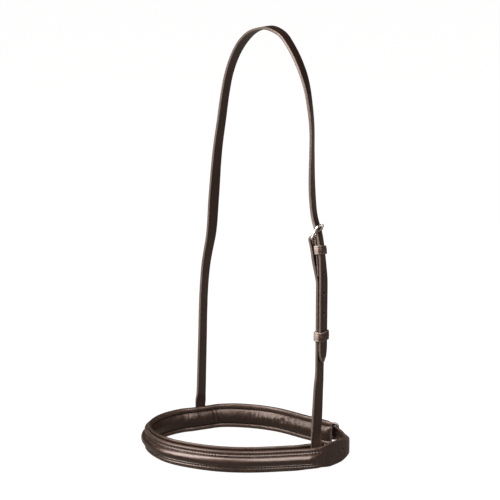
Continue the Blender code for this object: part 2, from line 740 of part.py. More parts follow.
# ---------------------------------------------------------------- stitching
def thread(name, frame, stations, n, w_off, step=7.5, sign=1.0):
    """One continuous seam thread lying on a surface: n is its foot, sign its side."""
    bm = bmesh.new()
    rings = []
    for t in spaced(stations, step):
        wo = w_off(t) if callable(w_off) else w_off
        p, w, o, u = frame(t, n(t) if callable(n) else n, wo)
        rings.append([p + x * w + sign * y * o for x, y in
                      ((-STITCH_W / 2, 0.0), (STITCH_W / 2, 0.0), (STITCH_W / 2 - 0.15, STITCH_T), (-STITCH_W / 2 + 0.15, STITCH_T))])
    add_sweep(bm, rings)
    finish(bm, name, THREAD, 0.7)


def band_frame(t, n=0.0, w=0.0):
    p, d, o = LOOP.frame(t)
    return (np.array([p[0] + n * o[0], p[1] + n * o[1], MID + w]), UP,
            np.array([o[0], o[1], 0.0]), np.array([d[0], d[1], 0.0]))


def main():
    for ob in list(bpy.data.objects):
        bpy.data.objects.remove(ob, do_unlink=True)
    build_noseband_strap()
    build_cover()
    build_roll_core()
    build_lining()
    build_foam()
    build_headpiece()
    build_cheekpiece()
    buckle_frame("head_buckle_frame", near, HEAD_BAR_N, HEAD_RAIL_T, HEAD_RAIL_N, HEAD_W / 2 + 0.5, BAR_R * 0.9)
    tongue("head_buckle_tongue", near, HEAD_BAR_N, HEAD_RAIL_T, HEAD_RAIL_N, 1.2)
    buckle_frame("jaw_buckle_frame", jaw, JAW_BAR_N, JAW_RAIL_T, JAW_RAIL_N, JAW_W / 2 + 0.4, BAR_R * 0.9)
    tongue("jaw_buckle_tongue", jaw, JAW_BAR_N, JAW_RAIL_T, JAW_RAIL_N, 1.2)
    hw = HEAD_W / 2 + 0.4
    keeper("head_fixed_keeper", near, -8.5 - KEEPER_H, -4.55, HEAD_T / 2 + 0.4, hw)
    slide_t = -(station_at_height(HEAD, 141.5) - BAR_S) - KEEPER_H / 2
    keeper("head_sliding_keeper", near, slide_t, -3.6 - HEAD_T / 2 - 0.4, HEAD_T / 2 + 0.4, hw)
    jw = JAW_W / 2 + 0.4
    keeper("jaw_front_keeper", jaw, -9.5 - KEEPER_H, 4.45, BILLET_N(-9.5) + STRAP_T / 2 + 0.5, jw)
    keeper("jaw_rear_keeper", jaw, -49.5 - KEEPER_H, 4.45, BILLET_N(-50) + STRAP_T / 2 + 0.6, jw)
    n_cover = STRAP_T + GAP + COVER_T + 0.3
    rows = grid(COVER_FAR + 4, COVER_NEAR - 5)
    thread("upper_seam_thread", band_frame, rows, n_cover, SEAM_Z, 50.0)
    thread("lower_seam_thread", band_frame, rows, n_cover, -SEAM_Z, 50.0)
    # behind the raised leather the lining is sewn to the strap, as far as the jaw keepers
    for tag, side in (("upper", 1), ("lower", -1)):
        thread("rear_%s_seam_thread" % tag, band_frame, grid(PAD_FAR + 22, COVER_FAR - 2), STRAP_T + GAP, side * (STRAP_W / 2 - 1.6), 50.0)
    back = [-HEAD_FOLD + 1, -30, -19, -13, -9]
    for tag, side in (("front", -1), ("rear", 1)):
        thread("cheek_chape_thread_" + tag, near, back, lambda t: CHEEK_N(t) - CHEEK_T(t) / 2 - GAP,
               side * (HEAD_W / 2 - 2.0), 6.0, -1.0)


main()
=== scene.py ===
import math

import bmesh
import bpy
import numpy as np
from mathutils import Matrix, Vector


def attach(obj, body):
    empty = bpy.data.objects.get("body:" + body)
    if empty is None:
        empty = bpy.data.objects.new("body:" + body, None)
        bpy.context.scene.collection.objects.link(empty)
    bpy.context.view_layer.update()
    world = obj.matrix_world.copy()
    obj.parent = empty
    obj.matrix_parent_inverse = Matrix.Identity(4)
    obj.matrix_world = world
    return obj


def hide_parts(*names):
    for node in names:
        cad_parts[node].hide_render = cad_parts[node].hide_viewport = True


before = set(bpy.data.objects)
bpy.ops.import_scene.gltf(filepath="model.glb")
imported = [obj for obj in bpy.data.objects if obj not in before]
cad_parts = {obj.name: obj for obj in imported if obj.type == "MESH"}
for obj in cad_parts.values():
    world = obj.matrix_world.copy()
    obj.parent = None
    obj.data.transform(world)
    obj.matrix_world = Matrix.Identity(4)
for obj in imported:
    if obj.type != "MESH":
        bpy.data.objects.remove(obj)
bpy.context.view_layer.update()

MM = 0.001
rng = np.random.default_rng(11)

# ---------------------------------------------------------------- the part's own numbers
LINING_H = 27.0
STRAP_W = 22.2
STRAP_T = 2.8
FLAT_W = 23.4
JAW_W = 13.0
HEAD_W = 12.8
HEAD_T = 3.2
CHAPE_T = 2.4
GAP = 0.3
COVER_T = 1.3
ROLL_R = 4.1
ROLL_HALF = 5.0
SEAM_Z = 7.15
FRONT_W = 21.0            # strap behind the raised leather
COVER_H = 10.55           # half height of the raised leather
LINING_T = 1.3
PAD_IN = 5.4
TAB_N = -1.5
TAB_T = 1.6
NEAR_ATT = 129.4
FAR_ATT = -168.2
COVER_NEAR = 137.0
COVER_FAR = -181.4
PAD_NEAR = 140.5
PAD_FAR = -329.0
JAW_BAR = 228.5
JAW_TIP = 320.5
SHOULDER = 160.7
SHOULDER_END = 184.9
JAW_FOLD = 74.0
BAR_R = 1.6
HEAD_RAIL_T = 11.7
JAW_RAIL_T = 11.0
HOLE_R = 1.8
USED_HOLE_R = 2.1
HEAD_PITCH = 21.0
JAW_PITCH = 19.3
HOLE_T = 6.5
KEEPER_H = 9.8
KEEPER_T = 1.3
HEAD_FOLD = 38.0
CENTRE = (1.05, 4.756)
LIFT = 1.2
MID = LINING_H / 2
PITCH = 3.0             # stitch spacing

LOOP_PLAN = [(1, -78.4), (30, -63.4), (55, -40.7), (75, -15),
             (92, 10.5), (94.5, 32.5), (91.3, 55.5), (77.7, 65.4),
             (55, 72), (20.5, 68.5), (-13.3, 64.8), (-45.5, 52),
             (-72, 29.7), (-86, 0), (-91.7, -32.5), (-83.2, -63),
             (-61.2, -80.7), (-31.7, -86.4)]

HEAD_ROUTE = [
    (-82.3, 11.0, 36, 9), (-82.2, 12.2, 60, 12), (-82, 13, 85, 13), (-81.5, 14, 125, 15),
    (-80.5, 15, 160, 15), (-78.5, 16, 185, 12), (-74.5, 16.7, 205, 8.5), (-70.7, 17.4, 225, 5),
    (-68.2, 18.5, 260, 2.5), (-65.3, 19.8, 300, 8), (-58.6, 21.2, 345, 12), (-51.4, 22.5, 385, 13.5),
    (-42.3, 23.4, 410, 11), (-28.5, 24, 430, 4.5), (-10.5, 24, 442.5, 4), (8, 24, 446.6, 8),
    (25, 24, 442.5, 17), (39, 24, 430, 20), (53.2, 23.4, 410, 21), (63.8, 22.5, 385, 28),
    (70.9, 21.2, 345, 33), (72.4, 19.8, 300, 27), (74.8, 18.9, 277, 24), (78.3, 18.2, 261, 24),
    (80.7, 18.0, 255.7, 24), (83.8, 17.8, 249.5, 24), (86.2, 17.6, 242.5, 24), (88.2, 17.4, 234, 24),
    (90.6, 17.1, 217, 19), (92.4, 16.8, 196, 12), (92.4, 16.8, 108, 12)]
BAR_Z = 242.5
TIP_Z = 113.0
CHEEK_ROUTE = [(88.2, 12.4, 38, 0), (87.9, 14.0, 56, 4), (87.7, 15.4, 78, 8)]


def monotone(xs, ys):
    xs = np.asarray(xs, float)
    ys = np.asarray(ys, float)
    h = np.diff(xs)
    d = np.diff(ys) / h
    m = np.zeros(len(xs))
    m[0], m[-1] = d[0], d[-1]
    for i in range(1, len(xs) - 1):
        if d[i - 1] * d[i] > 0:
            w1 = 2 * h[i] + h[i - 1]
            w2 = h[i] + 2 * h[i - 1]
            m[i] = (w1 + w2) / (w1 / d[i - 1] + w2 / d[i])

    def f(x):
        x = min(max(x, xs[0]), xs[-1])
        i = min(max(int(np.searchsorted(xs, x)) - 1, 0), len(h) - 1)
        u = (x - xs[i]) / h[i]
        return ((2 * u ** 3 - 3 * u ** 2 + 1) * ys[i] + (u ** 3 - 2 * u ** 2 + u) * h[i] * m[i]
                + (3 * u ** 2 - 2 * u ** 3) * ys[i + 1] + (u ** 3 - u ** 2) * h[i] * m[i + 1])
    return f


def smooth(a, b, x):
    u = min(max((x - a) / (b - a), 0.0), 1.0)
    return u * u * (3 - 2 * u)


class Loop:
    def __init__(self, pts):
        p = np.array(pts, float)
        n = len(p)
        a = np.zeros((n, n))
        rhs = np.zeros((n, 2))
        for i in range(n):
            a[i, i] = 4
            a[i, (i - 1) % n] = 1
            a[i, (i + 1) % n] = 1
            rhs[i] = 3 * (p[(i + 1) % n] - p[(i - 1) % n])
        m = np.linalg.solve(a, rhs)
        k = 60
        out = []
        for i in range(n):
            j = (i + 1) % n
            for q in range(k):
                u = q / k
                out.append((2 * u ** 3 - 3 * u ** 2 + 1) * p[i] + (u ** 3 - 2 * u ** 2 + u) * m[i]
                           + (3 * u ** 2 - 2 * u ** 3) * p[j] + (u ** 3 - u ** 2) * m[j])
        out.append(out[0])
        self.p = np.array(out)
        self.s = np.r_[0, np.cumsum(np.linalg.norm(np.diff(self.p, axis=0), axis=1))]
        self.length = self.s[-1]

    def at(self, s):
        s = s % self.length
        return np.array([np.interp(s, self.s, self.p[:, 0]), np.interp(s, self.s, self.p[:, 1])])

    def frame(self, s):
        d = self.at(s + 1.5) - self.at(s - 1.5)
        d = d / np.linalg.norm(d)
        return self.at(s), d, np.array([d[1], -d[0]])


LOOP = Loop([(x + CENTRE[0], y + CENTRE[1]) for x, y in LOOP_PLAN])
UP = np.array([0.0, 0.0, 1.0])


def band(s, n=0.0, z=0.0):
    p, d, o = LOOP.frame(s)
    c = p + n * o
    return np.array([c[0], c[1], MID + z]), UP.copy(), np.array([o[0], o[1], 0.0])


class Route:
    """Strap route in space; the samples are softened so that no station shows as a kink."""

    def __init__(self, rows, soft=3.5):
        r = np.array(rows, float)
        u = np.r_[0, np.cumsum(np.linalg.norm(np.diff(r[:, :3], axis=0), axis=1))]
        f = [monotone(u, r[:, i]) for i in range(4)]
        x = np.arange(0, u[-1], 0.5)
        x = np.r_[x, u[-1]]
        q = np.array([[g(v) for g in f] for v in x])
        w = int(3 * soft / 0.5)
        k = np.exp(-0.5 * (np.arange(-w, w + 1) * 0.5 / soft) ** 2)
        k /= k.sum()
        # mirrored ends keep the first and last point in place
        pad = np.vstack([2 * q[0] - q[w:0:-1], q, 2 * q[-1] - q[-2:-w - 2:-1]])
        q = np.array([np.convolve(pad[:, i], k, "valid") for i in range(4)]).T
        self.q = q
        self.s = np.r_[0, np.cumsum(np.linalg.norm(np.diff(q[:, :3], axis=0), axis=1))]
        self.length = self.s[-1]

    def row(self, s):
        return np.array([np.interp(s, self.s, self.q[:, i]) for i in range(4)])

    def frame(self, s):
        r = self.row(s)
        d = self.row(min(s + 1.5, self.length))[:3] - self.row(max(s - 1.5, 0))[:3]
        d = d / np.linalg.norm(d)
        a = math.radians(r[3])
        w = np.array([-math.sin(a), math.cos(a), 0.0])
        w = w - w.dot(d) * d
        w = w / np.linalg.norm(w)
        return r[:3], w, np.cross(d, w), d


def moved(rows):
    return [(x + CENTRE[0], y + CENTRE[1], z + LIFT, az) for x, y, z, az in rows]


def pocket(s, n, z, turn=0.0):
    p, up, out = band(s, n, z)
    az = math.degrees(math.atan2(out[1], out[0])) + turn
    return (p[0], p[1], p[2], az)


far_pocket = [pocket(FAR_ATT, TAB_N, -8.0), pocket(FAR_ATT, TAB_N, 13.5), pocket(FAR_ATT, -2.3, 20.0, 13)]
far_pocket = [(x, y, z, az - 180) for x, y, z, az in far_pocket]
HEAD = Route(far_pocket + moved(HEAD_ROUTE))


def station_at_height(route, z):
    k = np.where(route.q[:, 2] >= z + LIFT)[0][-1]
    z0, z1 = route.q[k, 2], route.q[min(k + 1, len(route.q) - 1), 2]
    u = 0.0 if z0 == z1 else (z0 - z - LIFT) / (z0 - z1)
    return float(route.s[k] + u * 0.5)


BAR_S = station_at_height(HEAD, BAR_Z)


def near(t, n=0.0, w=0.0):
    p, wd, out, d = HEAD.frame(BAR_S - t)
    return p + n * out + w * wd, wd, out, -d


def jaw(t, n=0.0, w=0.0):
    p, up, out = band(JAW_BAR - t, n)
    return p + w * up, up, out, np.cross(out, up)


JAW_BAR_N = 4.5
MAIN_N = STRAP_T / 2
WRAP_R = BAR_R + GAP + CHAPE_T / 2
BILLET_N = monotone([-92, -74, -62, -50, -26, -12, 0, 11, 22, 38, 58],
                    [6.2, 7.0, 8.4, 8.4, 8.7, 9.4, 10.8, 6.9, 3.6, 1.6, MAIN_N])
FOLD_N = monotone([-74, -66, -60, -48, -20, -7, 0], [3.8, 4.7, 5.7, 5.7, 5.75, 6.2, JAW_BAR_N + WRAP_R])
FOLD_T = monotone([-74, -60, -20, -7, 0], [0.9, 1.7, 1.9, 2.1, CHAPE_T])
HEAD_BAR_N = -6.2
CHEEK_N = monotone([-134, -46, -38, -19, -13, -7, 0], [-3.6, -3.6, -4.9, -7.75, -8.1, -8.7, -9.3])
CHEEK_T = monotone([-134, -19, -13, -7, 0], [HEAD_T, HEAD_T, 3.0, 2.6, CHAPE_T])
CFOLD_N = monotone([-38, -30, -19, -8, 0], [-2.45, -2.8, -3.05, -3.1, -3.1])
CFOLD_T = monotone([-38, -30, -19, -8, 0], [0.9, 1.6, 2.0, 2.2, CHAPE_T])
HEAD_RAIL_N = HEAD_T / 2 + 0.45 + BAR_R
JAW_RAIL_N = BILLET_N(JAW_RAIL_T) + STRAP_T / 2 + 0.6 + BAR_R


PAD_END = PAD_FAR - 2.0   # turned-in far end of the lining


def tab_room(s):
    a = 1 - smooth(7.2, 13.0, abs(s - NEAR_ATT)) if s > 0 else 1 - smooth(7.2, 13.0, abs(s - FAR_ATT))
    return 2.3 * a


def soft_room(s):
    """The lining swells over a tucked strap end and settles slowly on both sides."""
    c = NEAR_ATT if s > 0 else FAR_ATT
    return 2.25 * (1 - smooth(6.5, 24.0, abs(s - c))) ** 1.0


def pad_amount(s):
    return smooth(PAD_END, PAD_END + 7, s) * (1 - smooth(PAD_NEAR - 10, PAD_NEAR, s))


# ---------------------------------------------------------------- smooth random fields
_lat = rng.random((64, 64)) * 2 - 1


def wave(x, y=0.0, seed=0):
    """Smooth value noise, about -1 to 1; numbers or arrays."""
    x = np.asarray(x, float) + seed * 7.31
    y = np.asarray(y, float) + seed * 3.17
    xi, yi = np.floor(x).astype(int), np.floor(y).astype(int)
    u, v = x - xi, y - yi
    u, v = u * u * (3 - 2 * u), v * v * (3 - 2 * v)
    g = lambda a, b: _lat[a % 64, b % 64]
    return ((g(xi, yi) * (1 - u) + g(xi + 1, yi) * u) * (1 - v)
            + (g(xi, yi + 1) * (1 - u) + g(xi + 1, yi + 1) * u) * v)


# ---------------------------------------------------------------- materials
def nodes_of(name):
    mat = bpy.data.materials.new(name)
    mat.use_nodes = True
    nt = mat.node_tree
    nt.nodes.clear()
    out = nt.nodes.new("ShaderNodeOutputMaterial")
    bsdf = nt.nodes.new("ShaderNodeBsdfPrincipled")
    nt.links.new(bsdf.outputs[0], out.inputs[0])
    return mat, nt, bsdf


def node(nt, kind, **values):
    n = nt.nodes.new(kind)
    for k, v in values.items():
        if k in n.inputs:
            n.inputs[k].default_value = v
        else:
            setattr(n, k, v)
    return n


def noise_node(nt, coord, scale, detail=4.0, rough=0.55, stretch=None):
    src = coord
    if stretch:
        mp = node(nt, "ShaderNodeMapping")
        mp.inputs["Scale"].default_value = stretch
        nt.links.new(coord, mp.inputs["Vector"])
        src = mp.outputs[0]
    n = node(nt, "ShaderNodeTexNoise", Scale=scale, Detail=detail, Roughness=rough)
    nt.links.new(src, n.inputs["Vector"])
    return n.outputs["Fac"]


def ramp(nt, fac, stops):
    r = node(nt, "ShaderNodeValToRGB")
    e = r.color_ramp.elements
    e[0].position, e[0].color = stops[0][0], (*stops[0][1], 1)
    e[1].position, e[1].color = stops[-1][0], (*stops[-1][1], 1)
    for pos, col in stops[1:-1]:
        x = e.new(pos)
        x.color = (*col, 1)
    nt.links.new(fac, r.inputs[0])
    return r.outputs[0]


def mix(nt, fac, a, b, mode="MIX"):
    m = node(nt, "ShaderNodeMix", data_type="RGBA", blend_type=mode)
    for sock, v in ((m.inputs[0], fac), (m.inputs[6], a), (m.inputs[7], b)):
        if isinstance(v, (int, float)):
            sock.default_value = v
        elif isinstance(v, tuple):
            sock.default_value = (*v, 1)
        else:
            nt.links.new(v, sock)
    return m.outputs[2]


def maths(nt, op, a, b=None, clamp=False):
    m = node(nt, "ShaderNodeMath", operation=op, use_clamp=clamp)
    for sock, v in ((m.inputs[0], a), (m.inputs[1], b)):
        if v is None:
            continue
        if isinstance(v, (int, float)):
            sock.default_value = v
        else:
            nt.links.new(v, sock)
    return m.outputs[0]


def remap(nt, v, lo, hi, a, b):
    m = node(nt, "ShaderNodeMapRange")
    m.inputs["From Min"].default_value = lo
    m.inputs["From Max"].default_value = hi
    m.inputs["To Min"].default_value = a
    m.inputs["To Max"].default_value = b
    nt.links.new(v, m.inputs["Value"])
    return m.outputs[0]


def leather(name, dark, base, edge, rough=0.38, grain=1.0, grain_size=0.55, coat=0.25, coat_rough=0.22,
            spec=0.5, soft=0.0, wear=(0.16, 0.11, 0.08)):
    """Waxed bridle leather: fine pebbled grain, hair-fine creases, cloudy colour, paler burnished edges that in places
    also carry a painted highlight, painted shade where the "dark" attribute is set, and slightly rubbed high spots."""
    mat, nt, b = nodes_of(name)
    tc = node(nt, "ShaderNodeTexCoord").outputs["Object"]
    cloud = noise_node(nt, tc, 55.0, 5.0, 0.6)
    fine = noise_node(nt, tc, 520.0, 6.0, 0.65)
    blotch = noise_node(nt, tc, 190.0, 3.0, 0.5)
    col = ramp(nt, cloud, [(0.32, dark), (0.68, base)])
    col = mix(nt, remap(nt, fine, 0.35, 0.75, 0.0, 0.55), col, tuple(c * 0.62 for c in dark))
    pt = node(nt, "ShaderNodeNewGeometry").outputs["Pointiness"]
    rub = maths(nt, "MULTIPLY", remap(nt, pt, 0.51, 0.58, 0.0, 1.0), remap(nt, blotch, 0.35, 0.7, 0.15, 0.8), True)
    col = mix(nt, rub, col, wear)
    # pale edge colour where the "edge" attribute is set: burnished edges and rims, and in places a painted highlight
    # (head strap edges, keeper side walls, rolled lining edges)
    at = node(nt, "ShaderNodeAttribute", attribute_name="edge").outputs["Fac"]
    streak = noise_node(nt, tc, 900.0, 2.0, 0.5)
    ef = maths(nt, "MULTIPLY", at, remap(nt, streak, 0.3, 0.7, 0.55, 1.0), True)
    col = mix(nt, ef, col, edge)
    # painted shade: the "dark" attribute takes the colour to near black in the stitch holes, seam grooves, foot of the
    # roll and gather pinches; it also darkens the straps' crease lines
    dk = node(nt, "ShaderNodeAttribute", attribute_name="dark").outputs["Fac"]
    col = mix(nt, dk, col, (0.003, 0.002, 0.0015))
    nt.links.new(col, b.inputs["Base Color"])
    rg = maths(nt, "ADD", remap(nt, blotch, 0.3, 0.7, rough - 0.06, rough + 0.08), remap(nt, fine, 0.3, 0.8, -0.03, 0.06))
    nt.links.new(rg, b.inputs["Roughness"])
    vor = node(nt, "ShaderNodeTexVoronoi", feature="DISTANCE_TO_EDGE", Scale=1000.0 / grain_size)
    warp = node(nt, "ShaderNodeMix", data_type="VECTOR")
    warp.inputs[0].default_value = 0.0016
    nt.links.new(tc, warp.inputs[4])
    nz = node(nt, "ShaderNodeTexNoise", Scale=700.0, Detail=2.0)
    nt.links.new(tc, nz.inputs["Vector"])
    nt.links.new(nz.outputs["Color"], warp.inputs[5])
    nt.links.new(warp.outputs[1], vor.inputs["Vector"])
    cell = remap(nt, vor.outputs["Distance"], 0.0, 0.22, 0.0, 1.0)
    b1 = node(nt, "ShaderNodeBump", Strength=0.30 * grain, Distance=0.00012)
    nt.links.new(cell, b1.inputs["Height"])
    b2 = node(nt, "ShaderNodeBump", Strength=0.35 * grain, Distance=0.00025)
    nt.links.new(fine, b2.inputs["Height"])
    nt.links.new(b1.outputs[0], b2.inputs["Normal"])
    b3 = node(nt, "ShaderNodeBump", Strength=0.35 + 0.4 * soft, Distance=0.0006)
    nt.links.new(blotch, b3.inputs["Height"])
    nt.links.new(b2.outputs[0], b3.inputs["Normal"])
    nt.links.new(b3.outputs[0], b.inputs["Normal"])
    b.inputs["Coat Weight"].default_value = coat
    b.inputs["Coat Roughness"].default_value = coat_rough
    b.inputs["Specular IOR Level"].default_value = spec * 0.82
    b.inputs["Specular Tint"].default_value = (1.0, 0.755, 0.67, 1.0)
    return mat


def steel(name, colour=(0.74, 0.73, 0.70), rough=0.16):
    mat, nt, b = nodes_of(name)
    tc = node(nt, "ShaderNodeTexCoord").outputs["Object"]
    cloud = noise_node(nt, tc, 260.0, 4.0, 0.6)
    scratch = noise_node(nt, tc, 1500.0, 3.0, 0.7, (1.0, 1.0, 0.18))
    nt.links.new(ramp(nt, cloud, [(0.3, tuple(c * 0.86 for c in colour)), (0.7, colour)]), b.inputs["Base Color"])
    nt.links.new(maths(nt, "ADD", remap(nt, cloud, 0.3, 0.7, rough - 0.04, rough + 0.07),
                       remap(nt, scratch, 0.4, 0.8, 0.0, 0.08)), b.inputs["Roughness"])
    bp = node(nt, "ShaderNodeBump", Strength=0.12, Distance=0.00008)
    nt.links.new(scratch, bp.inputs["Height"])
    nt.links.new(bp.outputs[0], b.inputs["Normal"])
    b.inputs["Metallic"].default_value = 1.0
    return mat


def thread_mat(name, a, c):
    """Waxed twisted thread: diagonal ply lines and a soft sheen."""
    mat, nt, b = nodes_of(name)
    tc = node(nt, "ShaderNodeTexCoord").outputs["Object"]
    w = node(nt, "ShaderNodeTexWave", wave_type="BANDS", bands_direction="DIAGONAL", Scale=900.0, Distortion=1.5, Detail=2.0)
    nt.links.new(tc, w.inputs["Vector"])
    n = noise_node(nt, tc, 400.0, 3.0)
    nt.links.new(mix(nt, maths(nt, "MULTIPLY", w.outputs["Fac"], n), a, c), b.inputs["Base Color"])
    nt.links.new(remap(nt, n, 0.3, 0.7, 0.42, 0.6), b.inputs["Roughness"])
    bp = node(nt, "ShaderNodeBump", Strength=0.6, Distance=0.0001)
    nt.links.new(w.outputs["Fac"], bp.inputs["Height"])
    nt.links.new(bp.outputs[0], b.inputs["Normal"])
    b.inputs["Sheen Weight"].default_value = 0.15
    b.inputs["Coat Weight"].default_value = 0.5
    b.inputs["Coat Roughness"].default_value = 0.25
    return mat


def filler_mat(name):
    mat, nt, b = nodes_of(name)
    tc = node(nt, "ShaderNodeTexCoord").outputs["Object"]
    n = noise_node(nt, tc, 800.0, 6.0, 0.7)
    nt.links.new(ramp(nt, n, [(0.3, (0.38, 0.35, 0.27)), (0.7, (0.6, 0.57, 0.48))]), b.inputs["Base Color"])
    bp = node(nt, "ShaderNodeBump", Strength=0.6, Distance=0.0004)
    nt.links.new(n, bp.inputs["Height"])
    nt.links.new(bp.outputs[0], b.inputs["Normal"])
    b.inputs["Roughness"].default_value = 0.92
    return mat


EDGE = (0.048, 0.035, 0.028)      # burnished edge
PALE_EDGE_AND_HIGHLIGHT = (0.105, 0.090, 0.082)      # head strap edges: paler own colour plus a painted highlight along them
M_STRAP = leather("strap_leather", (0.0075, 0.0037, 0.0024), (0.0150, 0.0078, 0.0050), EDGE, rough=0.36, grain=0.8, coat=0.9, coat_rough=0.25, spec=0.65)
M_HEAD = leather("head_strap_leather", (0.0075, 0.0036, 0.0023), (0.0145, 0.0075, 0.0049), PALE_EDGE_AND_HIGHLIGHT, rough=0.40, grain=0.8, coat=0.55, coat_rough=0.26, spec=0.55)
M_COVER = leather("raised_leather", (0.0070, 0.0034, 0.0022), (0.0140, 0.0072, 0.0046), (0.024, 0.0155, 0.0115), rough=0.34, grain=0.7, coat=1.0, coat_rough=0.24, spec=0.7)
# the lining's pale colour marks its rolled edges and turned-in ends, and partly stands in for the highlight on the
# rolled edges (painted highlight)
M_LINING = leather("lining_leather", (0.0075, 0.0037, 0.0024), (0.0145, 0.0078, 0.0052), (0.08, 0.060, 0.049), rough=0.38, grain=1.2,
                   grain_size=0.8, coat=0.55, coat_rough=0.32, spec=0.55, soft=0.8)
# keeper edge colour: burnished rims, and the pale part of the side walls is a painted highlight
M_KEEP = leather("keeper_leather", (0.0110, 0.0056, 0.0037), (0.020, 0.0110, 0.0074), (0.30, 0.272, 0.255), rough=0.36, grain=0.7, coat=0.6, coat_rough=0.24, spec=0.55)
M_STEEL = steel("polished_steel")
# darker, rougher copy of the polished steel for the jaw buckle: painted shade, as that buckle faces away from the light
M_SHADED_STEEL = steel("shaded_steel", (0.21, 0.20, 0.19), 0.33)
M_THREAD = thread_mat("waxed_thread", (0.006, 0.0034, 0.0024), (0.014, 0.0085, 0.006))
M_FILL = filler_mat("filler")


# ---------------------------------------------------------------- mesh tools
def build(name, verts, faces, mat, edge=None, angle=42, dark=None):
    """Mesh object from millimetre points; edge is the pale-edge amount at each point."""
    me = bpy.data.meshes.new(name)
    me.from_pydata((np.asarray(verts) * MM).tolist(), [], [list(map(int, f)) for f in faces])
    me.validate(verbose=False)
    bm = bmesh.new()
    bm.from_mesh(me)
    bmesh.ops.recalc_face_normals(bm, faces=bm.faces[:])
    if bm.calc_volume(signed=True) < 0:
        bmesh.ops.reverse_faces(bm, faces=bm.faces[:])
    bm.to_mesh(me)
    bm.free()
    if edge is not None:
        at = me.attributes.new("edge", "FLOAT", "POINT")
        at.data.foreach_set("value", np.asarray(edge, np.float32))
    if dark is not None:
        at = me.attributes.new("dark", "FLOAT", "POINT")
        at.data.foreach_set("value", np.asarray(dark, np.float32))
    me.materials.append(mat)
    me.shade_smooth()
    me.set_sharp_from_angle(angle=math.radians(angle))
    ob = bpy.data.objects.new(name, me)
    bpy.context.scene.collection.objects.link(ob)
    return ob


def ring_faces(n, k, closed_path=False, base=0, caps=True):
    f = []
    for i in range(n if closed_path else n - 1):
        a, b = base + i * k, base + ((i + 1) % n) * k
        for j in range(k):
            j2 = (j + 1) % k
            f.append((a + j, a + j2, b + j2, b + j))
    if caps and not closed_path:
        f.append(tuple(base + j for j in range(k)))
        f.append(tuple(base + (n - 1) * k + j for j in reversed(range(k))))
    return f


def section(width, thick, crease=1.9, depth=0.22, crown=0.05, nx=11, back=7, c=0.55, thin=-0.12):
    """Strap section: flat back, faintly domed creased front, rounded burnished edges.
    Returns x across, y through (front is +), and how much each point is edge."""
    a, b = width / 2 + 0.32, thick / 2 - thin
    c = min(c, a * 0.45)
    pts, e = [], []
    for i in range(back):
        u = -1 + 2 * i / (back - 1)
        pts.append((u * (a - c), -b))
        e.append(0.0)
    arc = []
    for q in (-78, -60, -42, -22, 0, 22, 42, 60, 78):
        t = math.radians(q)
        arc.append((a - c + c * math.cos(t) ** 0.72, b * math.copysign(abs(math.sin(t)) ** 0.85, math.sin(t)), smooth(0.4, 0.85, math.cos(t))))
    for x, y, ee in arc:
        pts.append((x, y))
        e.append(ee)
    xs = [(a - c, 0.0, 0.0)]
    k = a - crease
    cr = crease > 0 and k > 1.2
    inner = a - c
    if cr:
        xs += [(k + 0.45, 0.3, 0.0), (k, 1.0, 0.0), (k - 0.5, 0.3, 0.0)]
        inner = k - 0.5
    for i in range(1, nx - 1):
        xs.append(((1 - 2 * i / (nx - 1)) * inner, 0.0, 0.0))
    if cr:
        xs += [(-k + 0.5, 0.3, 0.0), (-k, 1.0, 0.0), (-k - 0.45, 0.3, 0.0)]
    xs.append((-a + c, 0.0, 0.0))
    for x, dp, ee in xs:
        pts.append((x, b + crown * (1 - (x / a) ** 2) - depth * dp))
        e.append(ee - 0.75 * dp)
    for x, y, ee in reversed(arc):
        pts.append((-x, y))
        e.append(ee)
    return np.array(pts), np.array(e)


def sweep_strap(name, stations, mat, body, dimple=(), thin=-0.12):
    """stations: list of (point, across, outward, width, thick). Ends are rounded off."""
    verts, edges, darks = [], [], []
    for i, (p, w, o, width, thick) in enumerate(stations):
        sec, e = section(max(width, 1.0), max(thick, 0.5), crease=1.9 if width > 9 else 0.0,
                         thin=thin if thick > 2 * thin + 1.2 else 0.0)
        verts.append(p + sec[:, :1] * w + sec[:, 1:] * o)
        ends = min(i, len(stations) - 1 - i)
        darks.append(np.maximum(-e, 0.0))
        edges.append(np.maximum(e, 0.7 if ends < 1 else 0.0))
    n, k = len(verts), len(verts[0])
    v = np.vstack(verts)
    ed = np.concatenate(edges)
    for c, axis, rad, dep in dimple:
        rel = v - c
        h = rel @ axis
        d = np.linalg.norm(rel - np.outer(h, axis), axis=1)
        m = (h > 0.2) & (h < 3.2)
        v[m] -= np.outer(dep * np.exp(-(d[m] / rad) ** 4), axis)
    ob = build(name, v, ring_faces(n, k), mat, ed, dark=np.concatenate(darks))
    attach(ob, body)
    return ob


